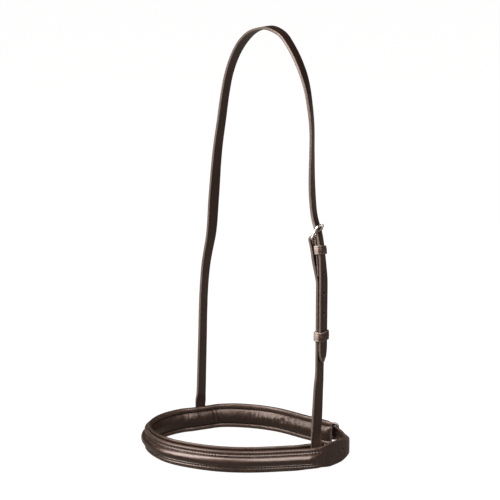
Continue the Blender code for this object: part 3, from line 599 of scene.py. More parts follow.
def punch(ob, holes, mat, slot=None):
    """Round holes right through a strap: (centre, axis, radius, half length)."""
    bm = bmesh.new()
    for p, axis, r, h in holes:
        axis = axis / np.linalg.norm(axis)
        u = np.cross(axis, UP if abs(axis[2]) < 0.9 else np.array([1.0, 0, 0]))
        u /= np.linalg.norm(u)
        v = np.cross(axis, u)
        k = 28
        rings = []
        for e, rr in ((-h, r * 1.12), (-h * 0.4, r), (h * 0.4, r), (h, r * 1.12)):
            rings.append([bm.verts.new((p + axis * e + rr * (math.cos(2 * math.pi * i / k) * u + math.sin(2 * math.pi * i / k) * v)) * MM)
                          for i in range(k)])
        for a, b in zip(rings, rings[1:]):
            for j in range(k):
                bm.faces.new((a[j], a[(j + 1) % k], b[(j + 1) % k], b[j]))
        bm.faces.new(rings[0])
        bm.faces.new(list(reversed(rings[-1])))
    if slot:
        a, b = [[bm.verts.new(p * MM) for p in ring] for ring in slot]
        for j in range(len(a)):
            bm.faces.new((a[j], a[(j + 1) % len(a)], b[(j + 1) % len(a)], b[j]))
        bm.faces.new(a)
        bm.faces.new(list(reversed(b)))
    bmesh.ops.recalc_face_normals(bm, faces=bm.faces[:])
    me = bpy.data.meshes.new(ob.name + "_punch")
    bm.to_mesh(me)
    bm.free()
    me.materials.append(mat)
    me.shade_smooth()
    cut = bpy.data.objects.new(me.name, me)
    bpy.context.scene.collection.objects.link(cut)
    m = ob.modifiers.new("holes", "BOOLEAN")
    m.operation = "DIFFERENCE"
    m.solver = "EXACT"
    m.object = cut
    m.material_mode = "TRANSFER"
    bpy.context.view_layer.update()
    dg = bpy.context.evaluated_depsgraph_get()
    new = bpy.data.meshes.new_from_object(ob.evaluated_get(dg), preserve_all_data_layers=True, depsgraph=dg)
    ob.modifiers.clear()
    old = ob.data
    ob.data = new
    bpy.data.meshes.remove(old)
    bpy.data.objects.remove(cut)


def steps(a, b, step):
    n = max(1, int(round(abs(b - a) / step)))
    return [a + (b - a) * i / n for i in range(n + 1)]


M_HOLE = leather("hole_leather", (0.010, 0.007, 0.005), (0.018, 0.012, 0.009), EDGE, rough=0.7, coat=0.0)

# ---------------------------------------------------------------- noseband strap with jaw strap
def front_width(s):
    """Strap width behind the lining: a little narrower under the raised leather, wide and flat past it."""
    far = STRAP_W + (FRONT_W - STRAP_W) * smooth(COVER_FAR - 9, COVER_FAR + 3, s)
    return far + (FLAT_W + 1.4 * (1 - smooth(153, 170, s)) - FRONT_W) * smooth(129, 146, s)


def jaw_width(s):
    """Width past the lining: wide and flat, a curved shoulder, then the billet and its point."""
    point = monotone([JAW_TIP - 16, JAW_TIP - 6, JAW_TIP - 1.5, JAW_TIP], [JAW_W, 10.2, 5.0, 2.4])
    if s > JAW_TIP - 16:
        return point(s)
    flat = front_width(s)
    return flat + (JAW_W - flat) * smooth(SHOULDER, SHOULDER_END, s)


def oblong(fr, bar_n):
    """Oblong hole through a chape's bend, where the tongue comes out: rings from inside to outside."""
    rings = []
    for n in (bar_n - 5.0, bar_n + 4.8):
        ring = []
        for x, t in [(2.4, 5.2), (-2.4, 5.2)] + [(-2.4 * math.cos(math.radians(q)), -3.4 - 2.4 * math.sin(math.radians(q))) for q in range(0, 181, 15)]:
            p, w, o, u = fr(0.0, n)
            ring.append(p + x * w + t * u)
        rings.append(ring)
    return rings


def noseband_strap():
    bar = JAW_BAR - LOOP.length
    p0, d0, o0 = LOOP.frame(bar)
    d3 = np.array([d0[0], d0[1], 0.0])
    o3 = np.array([o0[0], o0[1], 0.0])
    pb = np.array([p0[0], p0[1], MID]) + JAW_BAR_N * o3
    cw = JAW_W - 0.4
    st = []
    for t in steps(-JAW_FOLD, -1.5, 1.8):
        p, up, out = band(bar - t, FOLD_N(t))
        st.append((p, up, out, cw, FOLD_T(t)))
    for i in range(1, 20):
        a = math.pi / 2 - math.pi * i / 20
        radial = math.cos(a) * (-d3) + math.sin(a) * o3
        st.append((pb + WRAP_R * radial, UP, radial, cw, CHAPE_T))
    n0 = JAW_BAR_N - WRAP_R
    w_in = lambda s: cw + (front_width(s) - cw) * smooth(bar + 2, bar + 17, s)
    for s in steps(bar + 1.5, 141.5, 1.5):
        thick = CHAPE_T + (STRAP_T - CHAPE_T) * smooth(bar + 3, bar + 12, s)
        n = n0 + (MAIN_N - n0) * smooth(bar, bar + 10, s)
        p, up, out = band(s, n)
        st.append((p, up, -out, w_in(s), thick))
    for s in steps(142.1, 205.0, 0.6) + steps(206.0, JAW_TIP, 1.1):
        full = smooth(172, 186, s) * (1 - smooth(203, 212, s))
        p, up, out = band(s, BILLET_N(JAW_BAR - s), -0.7 * full)
        q = 1 - smooth(JAW_TIP - 1.6, JAW_TIP + 0.6, s) * 0.55
        st.append((p, up, -out, jaw_width(s) + 1.9 * full, STRAP_T * q))
    # the grain side faces out, so every station is turned over
    st = [(p, w, -o, a, b) for p, w, o, a, b in st]
    holes, dimples = [], []
    for k in range(-2, 4):
        t = HOLE_T + JAW_PITCH * k
        p, up, out, _ = jaw(t, BILLET_N(t))
        if k == 0:
            sl = (BILLET_N(t + 1) - BILLET_N(t - 1)) / 2.0
            _, _, _, tt = jaw(t)
            out = out - sl * tt
            out = out / np.linalg.norm(out)
        holes.append((p, out, USED_HOLE_R if k == 0 else HOLE_R, 2.6))
        dimples.append((p, out, 2.6, 0.18))
    ob = sweep_strap("noseband_strap_leather", st, M_STRAP, "noseband", dimples)
    v = np.array([x.co for x in ob.data.vertices]) / MM
    # soft cross wrinkles where the jaw strap leaves the raised part and bends round
    s_of = nearest_station(v[:, :2])
    fac = np.clip(1 - np.abs(s_of - 151) / 17, 0, 1) ** 0.7 + 0.5 * np.clip(1 - np.abs(s_of - 182) / 22, 0, 1)
    on = (v[:, 2] > 3.5) & (v[:, 2] < 23.5)
    wr = fac * (0.13 * wave(s_of / 1.3, v[:, 2] / 9.0, 3) + 0.10 * wave(s_of / 2.9, v[:, 2] / 14.0, 5))
    shift = np.zeros_like(v)
    for i in np.where(on & (fac > 0.01))[0]:
        _, _, o = LOOP.frame(s_of[i])
        shift[i, :2] = o * wr[i]
    v = v + shift
    ob.data.vertices.foreach_set("co", (v * MM).astype(np.float32).ravel())
    punch(ob, holes, M_HOLE, oblong(jaw, JAW_BAR_N))
    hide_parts("noseband_strap")
    return ob


def nearest_station(xy):
    """Station of the loop closest to each plan point, near side positive."""
    p = LOOP.p[:-1]
    out = np.zeros(len(xy))
    for i in range(0, len(xy), 4000):
        d = ((xy[i:i + 4000, None, :] - p[None, :, :]) ** 2).sum(-1)
        out[i:i + 4000] = LOOP.s[np.argmin(d, 1)]
    return np.where(out > 240, out - LOOP.length, out)


noseband_strap()


# ---------------------------------------------------------------- raised leather
def roll_amount(s):
    return smooth(COVER_FAR + 1, COVER_FAR + 18, s) * (1 - smooth(COVER_NEAR - 19, COVER_NEAR - 0.5, s)) ** 0.8


COVER_S0 = -90 * 2.0 + 1.5     # first pit of the stitch rows
STITCH_A = COVER_FAR + 5.0
STITCH_B = COVER_NEAR - 5.0


def pit(s):
    """1 at a stitch hole, 0 midway between two."""
    u = ((s - COVER_S0) / PITCH) % 1.0
    return (0.5 + 0.5 * math.cos(2 * math.pi * u)) ** 2


def roll_shape(z, k):
    """Stand-off of the roll above the flat leather at height z: round top, hollowed foot."""
    r = ROLL_HALF
    u = abs(z) / r
    if u < 1.0:
        return k * ((ROLL_R - 0.10) * math.sqrt(max(0.0, 1 - u * u)) ** 1.12 - 0.16 * u ** 6)
    v = (abs(z) - r) / 0.75
    return -0.18 * k * max(0.0, 1 - v) ** 1.5


def cover_profile(s):
    """Outer surface, from the lower edge up: height, stand-off from the strap, pale edge, painted shade in and around
    the stitch holes and at the foot of the roll.
    """
    k = roll_amount(s)
    near_end = 1 - smooth(COVER_NEAR - 16, COVER_NEAR, s)
    far_end = smooth(COVER_FAR - 1, COVER_FAR + 5, s)
    end = min(near_end, far_end)
    t = COVER_T * (0.08 + 0.92 * min(1.0, end * 1.15))
    rim = 1 - smooth(COVER_NEAR - 14, COVER_NEAR - 2, s)
    h = COVER_H - 0.6 * (1 - far_end)
    sewn = smooth(STITCH_A - 3, STITCH_A, s) * (1 - smooth(STITCH_B, STITCH_B + 3, s))
    p = pit(s) * (1.0 if STITCH_A - 1 < s < STITCH_B + 1 else 0.0)
    rows = [(-h, min(0.10, t), 0.9 * rim, 0), (-h + 0.05, t * 0.42, rim, 0), (-h + 0.20, t * 0.82, 0.9 * rim, 0), (-h + 0.52, t * 1.0, 0.35 * rim, 0)]
    # flat rim, sunk channel of the stitches, small ridge, foot of the roll
    # the fourth value of each row is painted shade: near black in the stitch holes, fading onto their walls and the
    # ridge, and 0.3 at the foot of the roll
    def seam(sewn, p):
        return [(h - 0.95, t + 0.05, 0.0, 0), (SEAM_Z + 1.20, t + 0.12 * sewn, 0.0, 0), (SEAM_Z + 0.88, t - 0.02, 0.0, 0.1 * p),
            (SEAM_Z + 0.48, t - 0.36 * sewn - 0.22 * p, 0.0, 0.85 * p), (SEAM_Z + 0.08, t - 0.58 * sewn - 0.40 * p, 0.0, p),
            (SEAM_Z - 0.32, t - 0.44 * sewn - 0.26 * p, 0.0, 0.85 * p), (SEAM_Z - 0.70, t - 0.08 * sewn - 0.14 * p, 0.0, 0.6 * p),
            (SEAM_Z - 1.05, t + 0.32 * sewn * (1 - 1.1 * p), 0.0, 0.5 * p), (SEAM_Z - 1.40, t + 0.20 * k * (1 - 0.4 * p), 0.0, 0)] + [
                (ROLL_HALF + q, t + roll_shape(ROLL_HALF + q, k), 0.0, 0.3 * k) for q in (0.50, 0.22)]
    fade = 1 - 0.55 * smooth(5, 45, s)
    half = seam(sewn, p)
    rows += [(-z, max(y, 0.06), e, d) for z, y, e, d in seam(sewn * fade, p * fade)]
    m = 22
    for i in range(m + 1):
        z = ROLL_HALF * math.sin(math.radians(-88 + 176 * i / m))
        rows.append((z, t + roll_shape(z, k), 0.0, 0.0))
    rows += [(z, max(y, 0.06), e, d) for z, y, e, d in reversed(half)]
    rows += [(-z, y, e, d) for z, y, e, d in reversed(rows[:4])]
    return rows, k, t


def raised_cover():
    verts, ed, dk = [], [], []
    n0 = STRAP_T + GAP * 0.4
    ss = [s for s in np.arange(COVER_S0 - 8 * PITCH, COVER_NEAR, PITCH / 6) if COVER_FAR < s < COVER_NEAR]
    ss = [COVER_FAR] + ss + [COVER_NEAR]
    for s in ss:
        rows, k, t = cover_profile(s)
        c = ROLL_HALF - 1.3
        rows = rows + [(c, 0.0, 0.0, 0), (c * 0.55, max(k * (ROLL_R - 0.75), 0.0), 0.0, 0),
                       (-c * 0.55, max(k * (ROLL_R - 0.75), 0.0), 0.0, 0), (-c, 0.0, 0.0, 0)]
        z = np.array([q[0] for q in rows])
        n = np.array([q[1] for q in rows])
        # gentle unevenness of hand work, kept out of the seams; fine cross wrinkles at the near end
        live = (np.abs(z) < ROLL_HALF) & (n > 1.0)
        n = n + live * (0.07 * wave(s / 11.0, z / 6.0, 1) + 0.03 * wave(s / 3.1, z / 3.0, 2)) * k
        out_face = n > 0.3
        wr = smooth(COVER_NEAR - 22, COVER_NEAR - 12, s) * (1 - smooth(COVER_NEAR - 3, COVER_NEAR, s))
        n = n + out_face * wr * 0.13 * wave(s / 0.9, z / 6.0, 31)
        p, up, out = band(s)
        verts.append(p + z[:, None] * up + (n0 + n)[:, None] * out)
        e = np.array([q[2] for q in rows])
        if s == ss[0]:
            e = np.maximum(e, 0.8)
        ed.append(e)
        dk.append(np.array([q[3] for q in rows]))
    ob = build("raised_leather_cover", np.vstack(verts), ring_faces(len(verts), len(verts[0])), M_COVER, np.concatenate(ed), angle=60,
               dark=np.concatenate(dk))
    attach(ob, "noseband")
    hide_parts("raised_cover")
    return ob


raised_cover()


# ---------------------------------------------------------------- stitches
def stitches(name, frame_fn, first, last, body, node_names, lean=0.10, pitch=PITCH, length=1.8, rise=0.06, sink=0.45, rad=(0.40, 0.32), side=1.0):
    """A row of separate stitches, each a short bowed thread that dives into its two holes.
    frame_fn(t) gives the surface point, across, outward and along."""
    verts, faces = [], []
    k, m = 8, 7
    t = first
    base = 0
    while t + pitch <= last + 0.01:
        c = t + pitch / 2
        jit = 0.05 * wave(t / 1.7, 0.0, 9)
        ring0 = []
        for i in range(m):
            u = -1 + 2 * i / (m - 1)
            p, w, o, d = frame_fn(c + u * length / 2)
            h = rise * (1 - abs(u) ** 2.6) - sink * abs(u) ** 5
            p = p + w * (lean * u + jit) + side * o * h
            f = math.sqrt(max(0.0, 1 - abs(u) ** 4)) * 0.75 + 0.25
            ring0.append([p + rad[0] * f * math.cos(2 * math.pi * j / k) * w + rad[1] * f * math.sin(2 * math.pi * j / k) * o for j in range(k)])
        verts += [q for r in ring0 for q in r]
        faces += ring_faces(m, k, base=base)
        base += m * k
        t += pitch
    ob = build(name, np.array(verts), faces, M_THREAD, angle=70)
    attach(ob, body)
    if node_names:
        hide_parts(*node_names)
    return ob


def on_cover(side):
    def f(s):
        rows, k, t = cover_profile(s)
        deep = 0.30 - (0.12 * smooth(5, 45, s) if side < 0 else 0.0)
        p, up, out = band(s, STRAP_T + GAP * 0.4 + t - deep, side * SEAM_Z)
        _, d, _ = LOOP.frame(s)
        return p, up, out, np.array([d[0], d[1], 0.0])
    return f


first = COVER_S0 + PITCH * math.ceil((STITCH_A - COVER_S0) / PITCH)
stitches("upper_row_stitches", on_cover(1), first, STITCH_B, "noseband", ["upper_seam_thread"])
stitches("lower_row_stitches", on_cover(-1), first, STITCH_B, "noseband", ["lower_seam_thread"])


def on_strap(side):
    def f(s):
        p, up, out = band(s, STRAP_T - 0.05, side * (STRAP_W / 2 - 1.6))
        _, d, _ = LOOP.frame(s)
        return p, up, out, np.array([d[0], d[1], 0.0])
    return f


stitches("rear_upper_row_stitches", on_strap(1), PAD_FAR + 22, COVER_FAR - 2, "noseband", ["rear_upper_seam_thread"])
stitches("rear_lower_row_stitches", on_strap(-1), PAD_FAR + 22, COVER_FAR - 2, "noseband", ["rear_lower_seam_thread"])


# ---------------------------------------------------------------- padded lining
GROOVE_Z = 8.4


def pad_hollow(s, z):
    """Depth of the hollow behind the lining leather."""
    k = pad_amount(s)
    g = 1.0 + 0.25 * k
    deep = 1.5 + (PAD_IN - 1.8) * k - 0.9 * k
    f = 1 - (z / (GROOVE_Z - 0.3)) ** 2
    if f <= 0:
        return 0.05
    return (g + 0.12 + (deep - g) * f ** 0.55 - 1.35) * smooth(0.0, 0.5, k)


def lining_rows(s):
    """Inner surface of the lining from its lower edge to its upper edge: height, depth inward, pale edge (paler toward
    the outer side of the rolled edge, partly a painted highlight).
    """
    k = pad_amount(s)
    h = MID
    roll = 1.6 + 1.25 * k
    g = 1.0 + 0.25 * k
    rows = [(-h + 0.02, 0.15, 0.3)]
    # rolled edge
    half = (h - GROOVE_Z) / 2 - 0.12
    for i in range(11):
        a = math.radians(-80 + 160 * i / 10)
        base = 0.25 * roll if a < 0 else g
        rows.append((-h + 0.06 + half * (1 + math.sin(a)), base + (roll - base) * math.cos(a) ** 0.8, 0.3 * max(0.0, math.cos(a + 0.5))))
    rows.append((-GROOVE_Z + 0.02, g - 0.12, 0.0))
    return rows, k, roll, g


def lining():
    """Padded strip: rolled edges, seam grooves, and a soft middle that is blown up by a cloth simulation."""
    ss = np.arange(PAD_END, PAD_NEAR, 1.1)
    ss = np.r_[ss, PAD_NEAR]
    mz = np.linspace(-GROOVE_Z + 0.32, GROOVE_Z - 0.32, 19)
    # the soft middle
    P = np.zeros((len(ss), len(mz), 3))
    N = np.zeros((len(ss), 3))
    start = np.zeros((len(ss), len(mz)))
    for i, s in enumerate(ss):
        k = pad_amount(s)
        deep = 1.5 + (PAD_IN - 1.8) * k - 0.9 * k
        g = 1.0 + 0.25 * k
        prof = g + 0.12 + (deep - g) * (1 - (mz / (GROOVE_Z - 0.3)) ** 2) ** 0.5
        p, up, out = band(s, -GAP - soft_room(s))
        N[i] = -out
        start[i] = prof
        P[i] = p + mz[:, None] * up - prof[:, None] * out
    depth = start.copy()
    depth = puff(P, N, ss, mz, start)
    # fine gathers across the strip, and one round pucker on the far side
    fine = np.r_[np.arange(PAD_END, PAD_NEAR, 0.5), PAD_NEAR]
    depth = np.array([np.interp(fine, ss, depth[:, j]) for j in range(len(mz))]).T
    out_v, ed, dk = [], [], []
    for i, s in enumerate(fine):
        rows, k, roll, g = lining_rows(s)
        z_mid, d_mid = mz, depth[i]
        body_w = np.clip(1 - (np.abs(z_mid) / (GROOVE_Z - 0.4)) ** 3, 0, 1) * k
        amp = 0.55 + 0.45 * wave(s / 21.0, 0.3, 12)
        calm = 0.35 + 0.65 * smooth(-292, -272, s) * (1 - 0.75 * smooth(-150, -90, s))
        turn = s + 1.1 * wave(s / 6.3, z_mid / 4.1, 14)
        fold = wave(turn / 2.1, z_mid / 9.0, 13)
        nip = np.exp(-(fold / 0.30) ** 2) * np.clip(0.55 + 0.7 * wave(s / 5.0, z_mid / 4.0, 17), 0, 1)
        gather = calm * (0.30 * fold - 0.30 * amp * nip + 0.06 * wave(turn / 3.3, z_mid / 5.5, 15)
                         + 0.03 * wave(s / 9.0, z_mid / 6.0, 16))
        d_mid = d_mid + gather * body_w
        ds, dz = s - PUCKER[0], 0.62 * (z_mid - PUCKER[1])
        r = np.hypot(ds, dz)
        d_mid = d_mid + body_w * (-0.80 * np.exp(-(r / 2.0) ** 2) + 0.26 * np.exp(-((r - 3.9) / 1.6) ** 2)
                                  + 0.14 * np.sin(9 * np.arctan2(dz, ds) + 0.6) * np.exp(-((r - 4.6) / 2.4) ** 2))
        ds = s - CREASE
        d_mid = d_mid - body_w * (0.9 * np.exp(-(ds / 1.3) ** 2) + 0.35 * np.exp(-((ds - 4.5) / 2.0) ** 2))
        lower = rows
        mid = [(z, d, 0.0) for z, d in zip(z_mid, d_mid)]
        upper = [(-z, d, e) for z, d, e in reversed(lower)]
        full = lower + mid + upper
        z = np.array([q[0] for q in full])
        d = np.array([q[1] for q in full])
        e = np.array([q[2] for q in full])
        edge_zone = np.abs(z) > GROOVE_Z + 0.3
        d = d + edge_zone * k * (0.10 * wave(s / 3.2, np.sign(z) * 3, 18) + 0.06 * wave(s / 1.3, np.sign(z) * 5, 19))
        # stitch pits in the grooves
        gz = np.abs(np.abs(z) - GROOVE_Z) < 0.3
        if COVER_FAR < s < COVER_NEAR or True:
            d = d - gz * 0.25 * pit(s)
        # the upper rolled edge stands a little higher than the lower one
        high = z > GROOVE_Z
        lift = k * (0.45 * (1 - smooth(-215, -190, s)) + 0.85 * smooth(-175, -110, s))
        z = np.where(high, GROOVE_Z + (z - GROOVE_Z) * (1 + lift / (MID - GROOVE_Z)), z)
        # outer side of the rolled edges, round above and below the strap
        zb = front_width(s) / 2 + 0.32 + 0.25
        top, bot = MID + lift, MID
        bulge = [(0.93, -0.30), (0.72, -0.66), (0.45, -0.72), (0.20, -0.42), (0.0, 0.05)]
        up_side = [(zb + (top - zb) * u, q) for u, q in bulge]
        low_side = [(-(zb + (bot - zb) * u), q) for u, q in reversed(bulge)]
        # back side against the strap
        zz = [8.3, 6.7, 5.0, 2.5, 0.0, -2.5, -5.0, -6.7, -8.3]
        z = np.r_[z, [q[0] for q in up_side], zz, [q[0] for q in low_side]]
        d = np.r_[d, [0.05 + (q[1] - 0.05) * k for q in up_side], [0.05] + [max(pad_hollow(s, q), 0.05) for q in zz[1:-1]] + [0.05],
                  [0.05 + (q[1] - 0.05) * k for q in low_side]]
        # painted highlight: a little pale colour on the outer bulges of the rolled edges
        e = np.r_[e, [0.10] * len(bulge), [0.0] * len(zz), [0.10] * len(bulge)]
        p, up, out = band(s, -GAP - soft_room(s))
        # the two ends are turned in and sewn flat
        endf = min(smooth(PAD_END, PAD_END + 2.0, s), 1 - smooth(PAD_NEAR - 2.0, PAD_NEAR, s))
        d = 0.05 + (d - 0.05) * (0.55 + 0.45 * endf)
        if endf < 0.6:
            e = np.maximum(e, 0.8 * (1 - endf))
        out_v.append(p + z[:, None] * up - d[:, None] * out)
        ed.append(e)
        # painted shade: darker in the pinches of the gathers and along the seam grooves; a thin line along the top of
        # the upper rolled edge is darkened too
        nips = np.zeros(len(z))
        nips[len(lower):len(lower) + len(mz)] = 0.62 * calm * nip * body_w
        dk.append(nips + 0.75 * k * np.clip((z - top + 0.75) / 0.5, 0, 1) + 0.35 * np.exp(-((np.abs(z) - GROOVE_Z) / 0.3) ** 2) * (d > 0.8))
    ob = build("padded_lining_leather", np.vstack(out_v), ring_faces(len(out_v), len(out_v[0])), M_LINING, np.concatenate(ed), angle=75,
               dark=np.concatenate(dk))
    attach(ob, "noseband")
    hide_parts("padded_lining")
    return ob


PUCKER = (-266.5, 2.3)
CREASE = -183.0


def puff(P, N, ss, mz, start):
    """Cloth simulation of the soft middle: sewn along both grooves, pressed out by its padding.
    Returns the depth of every point, inward from the strap."""
    n, m = len(ss), len(mz)
    me = bpy.data.meshes.new("pad_cloth")
    faces = [(i * m + j, i * m + j + 1, (i + 1) * m + j + 1, (i + 1) * m + j) for i in range(n - 1) for j in range(m - 1)]
    # a hundred times the real size, where the solver's lengths behave well
    big = 20.0
    me.from_pydata((P.reshape(-1, 3) * MM * big).tolist(), [], faces)
    ob = bpy.data.objects.new("pad_cloth", me)
    bpy.context.scene.collection.objects.link(ob)
    pin = ob.vertex_groups.new(name="pin")
    idx = [i * m + j for i in range(n) for j in (0, m - 1)] + [j for j in range(m)] + [(n - 1) * m + j for j in range(m)]
    pin.add(sorted(set(idx)), 1.0, "REPLACE")
    ob.modifiers.new("cloth", "CLOTH")
    st = ob.modifiers["cloth"].settings
    st.quality = 6
    st.mass = 0.3
    st.tension_stiffness = 12
    st.compression_stiffness = 12
    st.shear_stiffness = 6
    st.bending_stiffness = 0.35
    st.vertex_group_mass = "pin"
    st.use_pressure = True
    # faces point inward to the nose or away from it, so the sign follows
    me.calc_loop_triangles()
    nrm = np.array([f.normal for f in me.polygons])
    sgn = 1.0 if float((nrm[: m - 1] @ N[0]).mean()) > 0 else -1.0
    st.uniform_pressure_force = 2.2 * sgn
    st.shrink_min = -0.045
    st.effector_weights.gravity = 0.0
    ob.modifiers["cloth"].collision_settings.use_collision = False
    sc = bpy.context.scene
    ob.modifiers["cloth"].point_cache.frame_start = 1
    ob.modifiers["cloth"].point_cache.frame_end = 24
    for f in range(1, 19):
        sc.frame_set(f)
    dg = bpy.context.evaluated_depsgraph_get()
    ev = ob.evaluated_get(dg)
    q = np.array([v.co for v in ev.data.vertices]).reshape(n, m, 3) / (MM * big)
    sc.frame_set(1)
    bpy.data.objects.remove(ob)
    move = np.clip(np.einsum("ijk,ik->ij", q - P, N), -0.6, 1.5)
    # long swells stay whole, the short folds are pressed nearly flat by use
    w = np.exp(-0.5 * (np.arange(-14, 15) / 4.5) ** 2)
    w /= w.sum()
    calm = np.array([np.convolve(np.pad(move[:, j], 14, mode="edge"), w, "valid") for j in range(m)]).T
    return start + calm + 0.10 * (move - calm)


lining()


def lining_seam(side):
    def f(s):
        k = pad_amount(s)
        p, up, out = band(s, -GAP - soft_room(s) - (1.0 + 0.25 * k) + 0.2, side * GROOVE_Z)
        _, d, _ = LOOP.frame(s)
        return p, up, out, np.array([d[0], d[1], 0.0])
    return f


for tag, sd in (("upper", 1), ("lower", -1)):
    stitches("lining_%s_stitches" % tag, lining_seam(sd), first - 45 * PITCH, STITCH_B, "noseband", [], lean=0.05, rise=0.25, rad=(0.26, 0.2), side=-1.0)


# ---------------------------------------------------------------- head strap and cheekpiece
def headpiece():
    tip = station_at_height(HEAD, TIP_Z)
    width = monotone([0, tip - 17, tip - 6, tip - 1.5, tip], [HEAD_W, HEAD_W, 9.6, 4.6, 2.0])
    thick = monotone([0, 21.5, 30, 40, 60], [TAB_T, TAB_T, 2.6, HEAD_T, HEAD_T])
    st = []
    for s in steps(0, BAR_S - 30, 1.8) + steps(BAR_S - 29, tip, 1.0):
        p, w, o, d = HEAD.frame(s)
        free = smooth(60, 120, s) * (1 - smooth(BAR_S - 120, BAR_S - 50, s))
        p = p + o * free * (0.35 * wave(s / 38.0, 0, 21) + 0.08 * wave(s / 11.0, 0, 22))
        q = 1 - smooth(tip - 1.6, tip + 0.6, s) * 0.5
        wide = -1.0 + 1.55 * smooth(20, 34, s) + 0.35 * smooth(BAR_S - 330, BAR_S - 260, s) - 0.9 * smooth(BAR_S - 60, BAR_S - 25, s)
        st.append((p, w, o, width(s) + 2 * wide * (1 - smooth(tip - 60, tip - 17, s)), thick(s) * q))
    holes, dimples = [], []
    for k in range(0, 5):
        p, w, out, up = near(HOLE_T - HEAD_PITCH * k)
        holes.append((p, out, USED_HOLE_R if k == 0 else HOLE_R, 2.6))
        dimples.append((p, out, 2.6, 0.22))
    ob = sweep_strap("headpiece_strap_leather", st, M_HEAD, "noseband", dimples, thin=0.26)
    punch(ob, holes, M_HOLE)
    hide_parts("headpiece_strap")


headpiece()


def cheekpiece():
    t_low = -(station_at_height(HEAD, 108.5) - BAR_S)
    p_low, w_low, o_low, u_low = near(t_low, CHEEK_N(t_low))
    az = math.degrees(math.atan2(o_low[1], o_low[0]))
    rows = [pocket(NEAR_ATT, TAB_N, -8.0), pocket(NEAR_ATT, TAB_N, 13.5), pocket(NEAR_ATT, -2.1, 20.0, 11)]
    rows += moved(CHEEK_ROUTE)
    rows += [(p_low[0], p_low[1], p_low[2], az), (p_low[0], p_low[1], p_low[2] + 20, az)]
    low = Route(rows)
    end = float(np.interp(p_low[2], low.q[:, 2], low.s))
    thick = monotone([0, 21.5, 30, 40, 60], [TAB_T, TAB_T, 2.6, HEAD_T, HEAD_T])
    st = []
    for s in steps(0.0, end - 1.5, 1.8):
        p, w, o, d = low.frame(s)
        st.append((p, w, o * -1.0, HEAD_W - 1.5 + 2.9 * smooth(20, 52, s) - 1.4 * smooth(end - 20, end - 4, s), thick(s)))
    for t in steps(t_low, -1.5, 1.8):
        p, w, out, up = near(t, CHEEK_N(t))
        st.append((p, w, out, HEAD_W, CHEEK_T(t)))
    pb, wb, ob_, ub = near(0.0, HEAD_BAR_N)
    r = BAR_R + GAP + CHAPE_T / 2
    for i in range(1, 20):
        a = -math.pi / 2 + math.pi * i / 20
        radial = math.cos(a) * ub + math.sin(a) * ob_
        st.append((pb + r * radial, wb, -radial, HEAD_W, CHAPE_T))
    for t in steps(-1.5, -HEAD_FOLD, 1.8):
        p, w, out, up = near(t, CFOLD_N(t))
        st.append((p, w, -out, HEAD_W, CFOLD_T(t)))
    ob = sweep_strap("near_cheekpiece_leather", st, M_HEAD, "noseband", thin=0.26)
    punch(ob, [], M_HOLE, oblong(near, HEAD_BAR_N))
    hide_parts("near_cheekpiece")


cheekpiece()


def on_chape(side):
    def f(t):
        p, w, o, u = near(t, CHEEK_N(t) - CHEEK_T(t) / 2 + 0.02, side * (HEAD_W / 2 - 2.0))
        return p, w, o, u
    return f


stitches("chape_front_stitches", on_chape(-1), -HEAD_FOLD + 1, -9, "noseband", ["cheek_chape_thread_front"], pitch=2.8, length=2.2, rise=0.25, side=-1.0)
stitches("chape_rear_stitches", on_chape(1), -HEAD_FOLD + 1, -9, "noseband", ["cheek_chape_thread_rear"], pitch=2.8, length=2.2, rise=0.25, side=-1.0)


# ---------------------------------------------------------------- buckles
def tube(name, pts, side, sec, closed, mat, body):
    rings = []
    n = len(pts)
    for i in range(n):
        a = pts[(i - 1) % n] if (closed or i > 0) else pts[i]
        b = pts[(i + 1) % n] if (closed or i < n - 1) else pts[i]
        d = (b - a) / np.linalg.norm(b - a)
        u = side - side.dot(d) * d
        u = u / np.linalg.norm(u)
        v = np.cross(d, u)
        q = sec(i, n) if callable(sec) else sec
        rings.append([pts[i] + x * u + y * v for x, y in q])
    ob = build(name, np.vstack(rings), ring_faces(n, len(rings[0]), closed), mat, angle=50)
    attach(ob, body)
    return ob


def buckle(tag, fr, bar_n, rail_t, rail_n, inner_half, wire, body, cad):
    """Forged wire buckle: round bar and rails, the outer rail a little flattened on its face."""
    half = inner_half + wire
    pb, wb, ob_, ub = fr(0.0, bar_n)
    pr = fr(rail_t, rail_n)[0]
    e = pr - pb
    length = np.linalg.norm(e)
    e = e / length
    r1, r2 = 2.9, 2.1
    pts = []

    def corner(cx, cy, r, a0):
        for i in range(11):
            a = math.radians(a0 + 9 * i)
            pts.append((cx + r * math.cos(a), cy + r * math.sin(a)))

    def run(x0, y0, x1, y1, m):
        for i in range(1, m):
            pts.append((x0 + (x1 - x0) * i / m, y0 + (y1 - y0) * i / m))
    corner(half - r1, length - r1, r1, 0)
    run(half - r1, length, -half + r1, length, 8)
    corner(-half + r1, length - r1, r1, 90)
    run(-half, length - r1, -half, r2, 6)
    corner(-half + r2, r2, r2, 180)
    run(-half + r2, 0, half - r2, 0, 8)
    corner(half - r2, r2, r2, 270)
    run(half, r2, half, length - r1, 6)
    nrm = np.cross(wb, e)
    pts3 = []
    for x, y in pts:
        pts3.append(pb + x * wb + y * e)
    k = 16

    def sec(i, n):
        y = pts[i][1]
        swell = 1.0 + 0.10 * smooth(length * 0.5, length, y)
        return [(wire * math.cos(2 * math.pi * (j + 0.5) / k) * 0.96, wire * swell * math.sin(2 * math.pi * (j + 0.5) / k)) for j in range(k)]
    # the jaw buckle gets the darker steel copy: painted shade
    ob = tube(tag + "_buckle_wire_frame", pts3, nrm, sec, True, M_SHADED_STEEL if tag == "jaw" else M_STEEL, body)
    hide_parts(cad)
    return ob


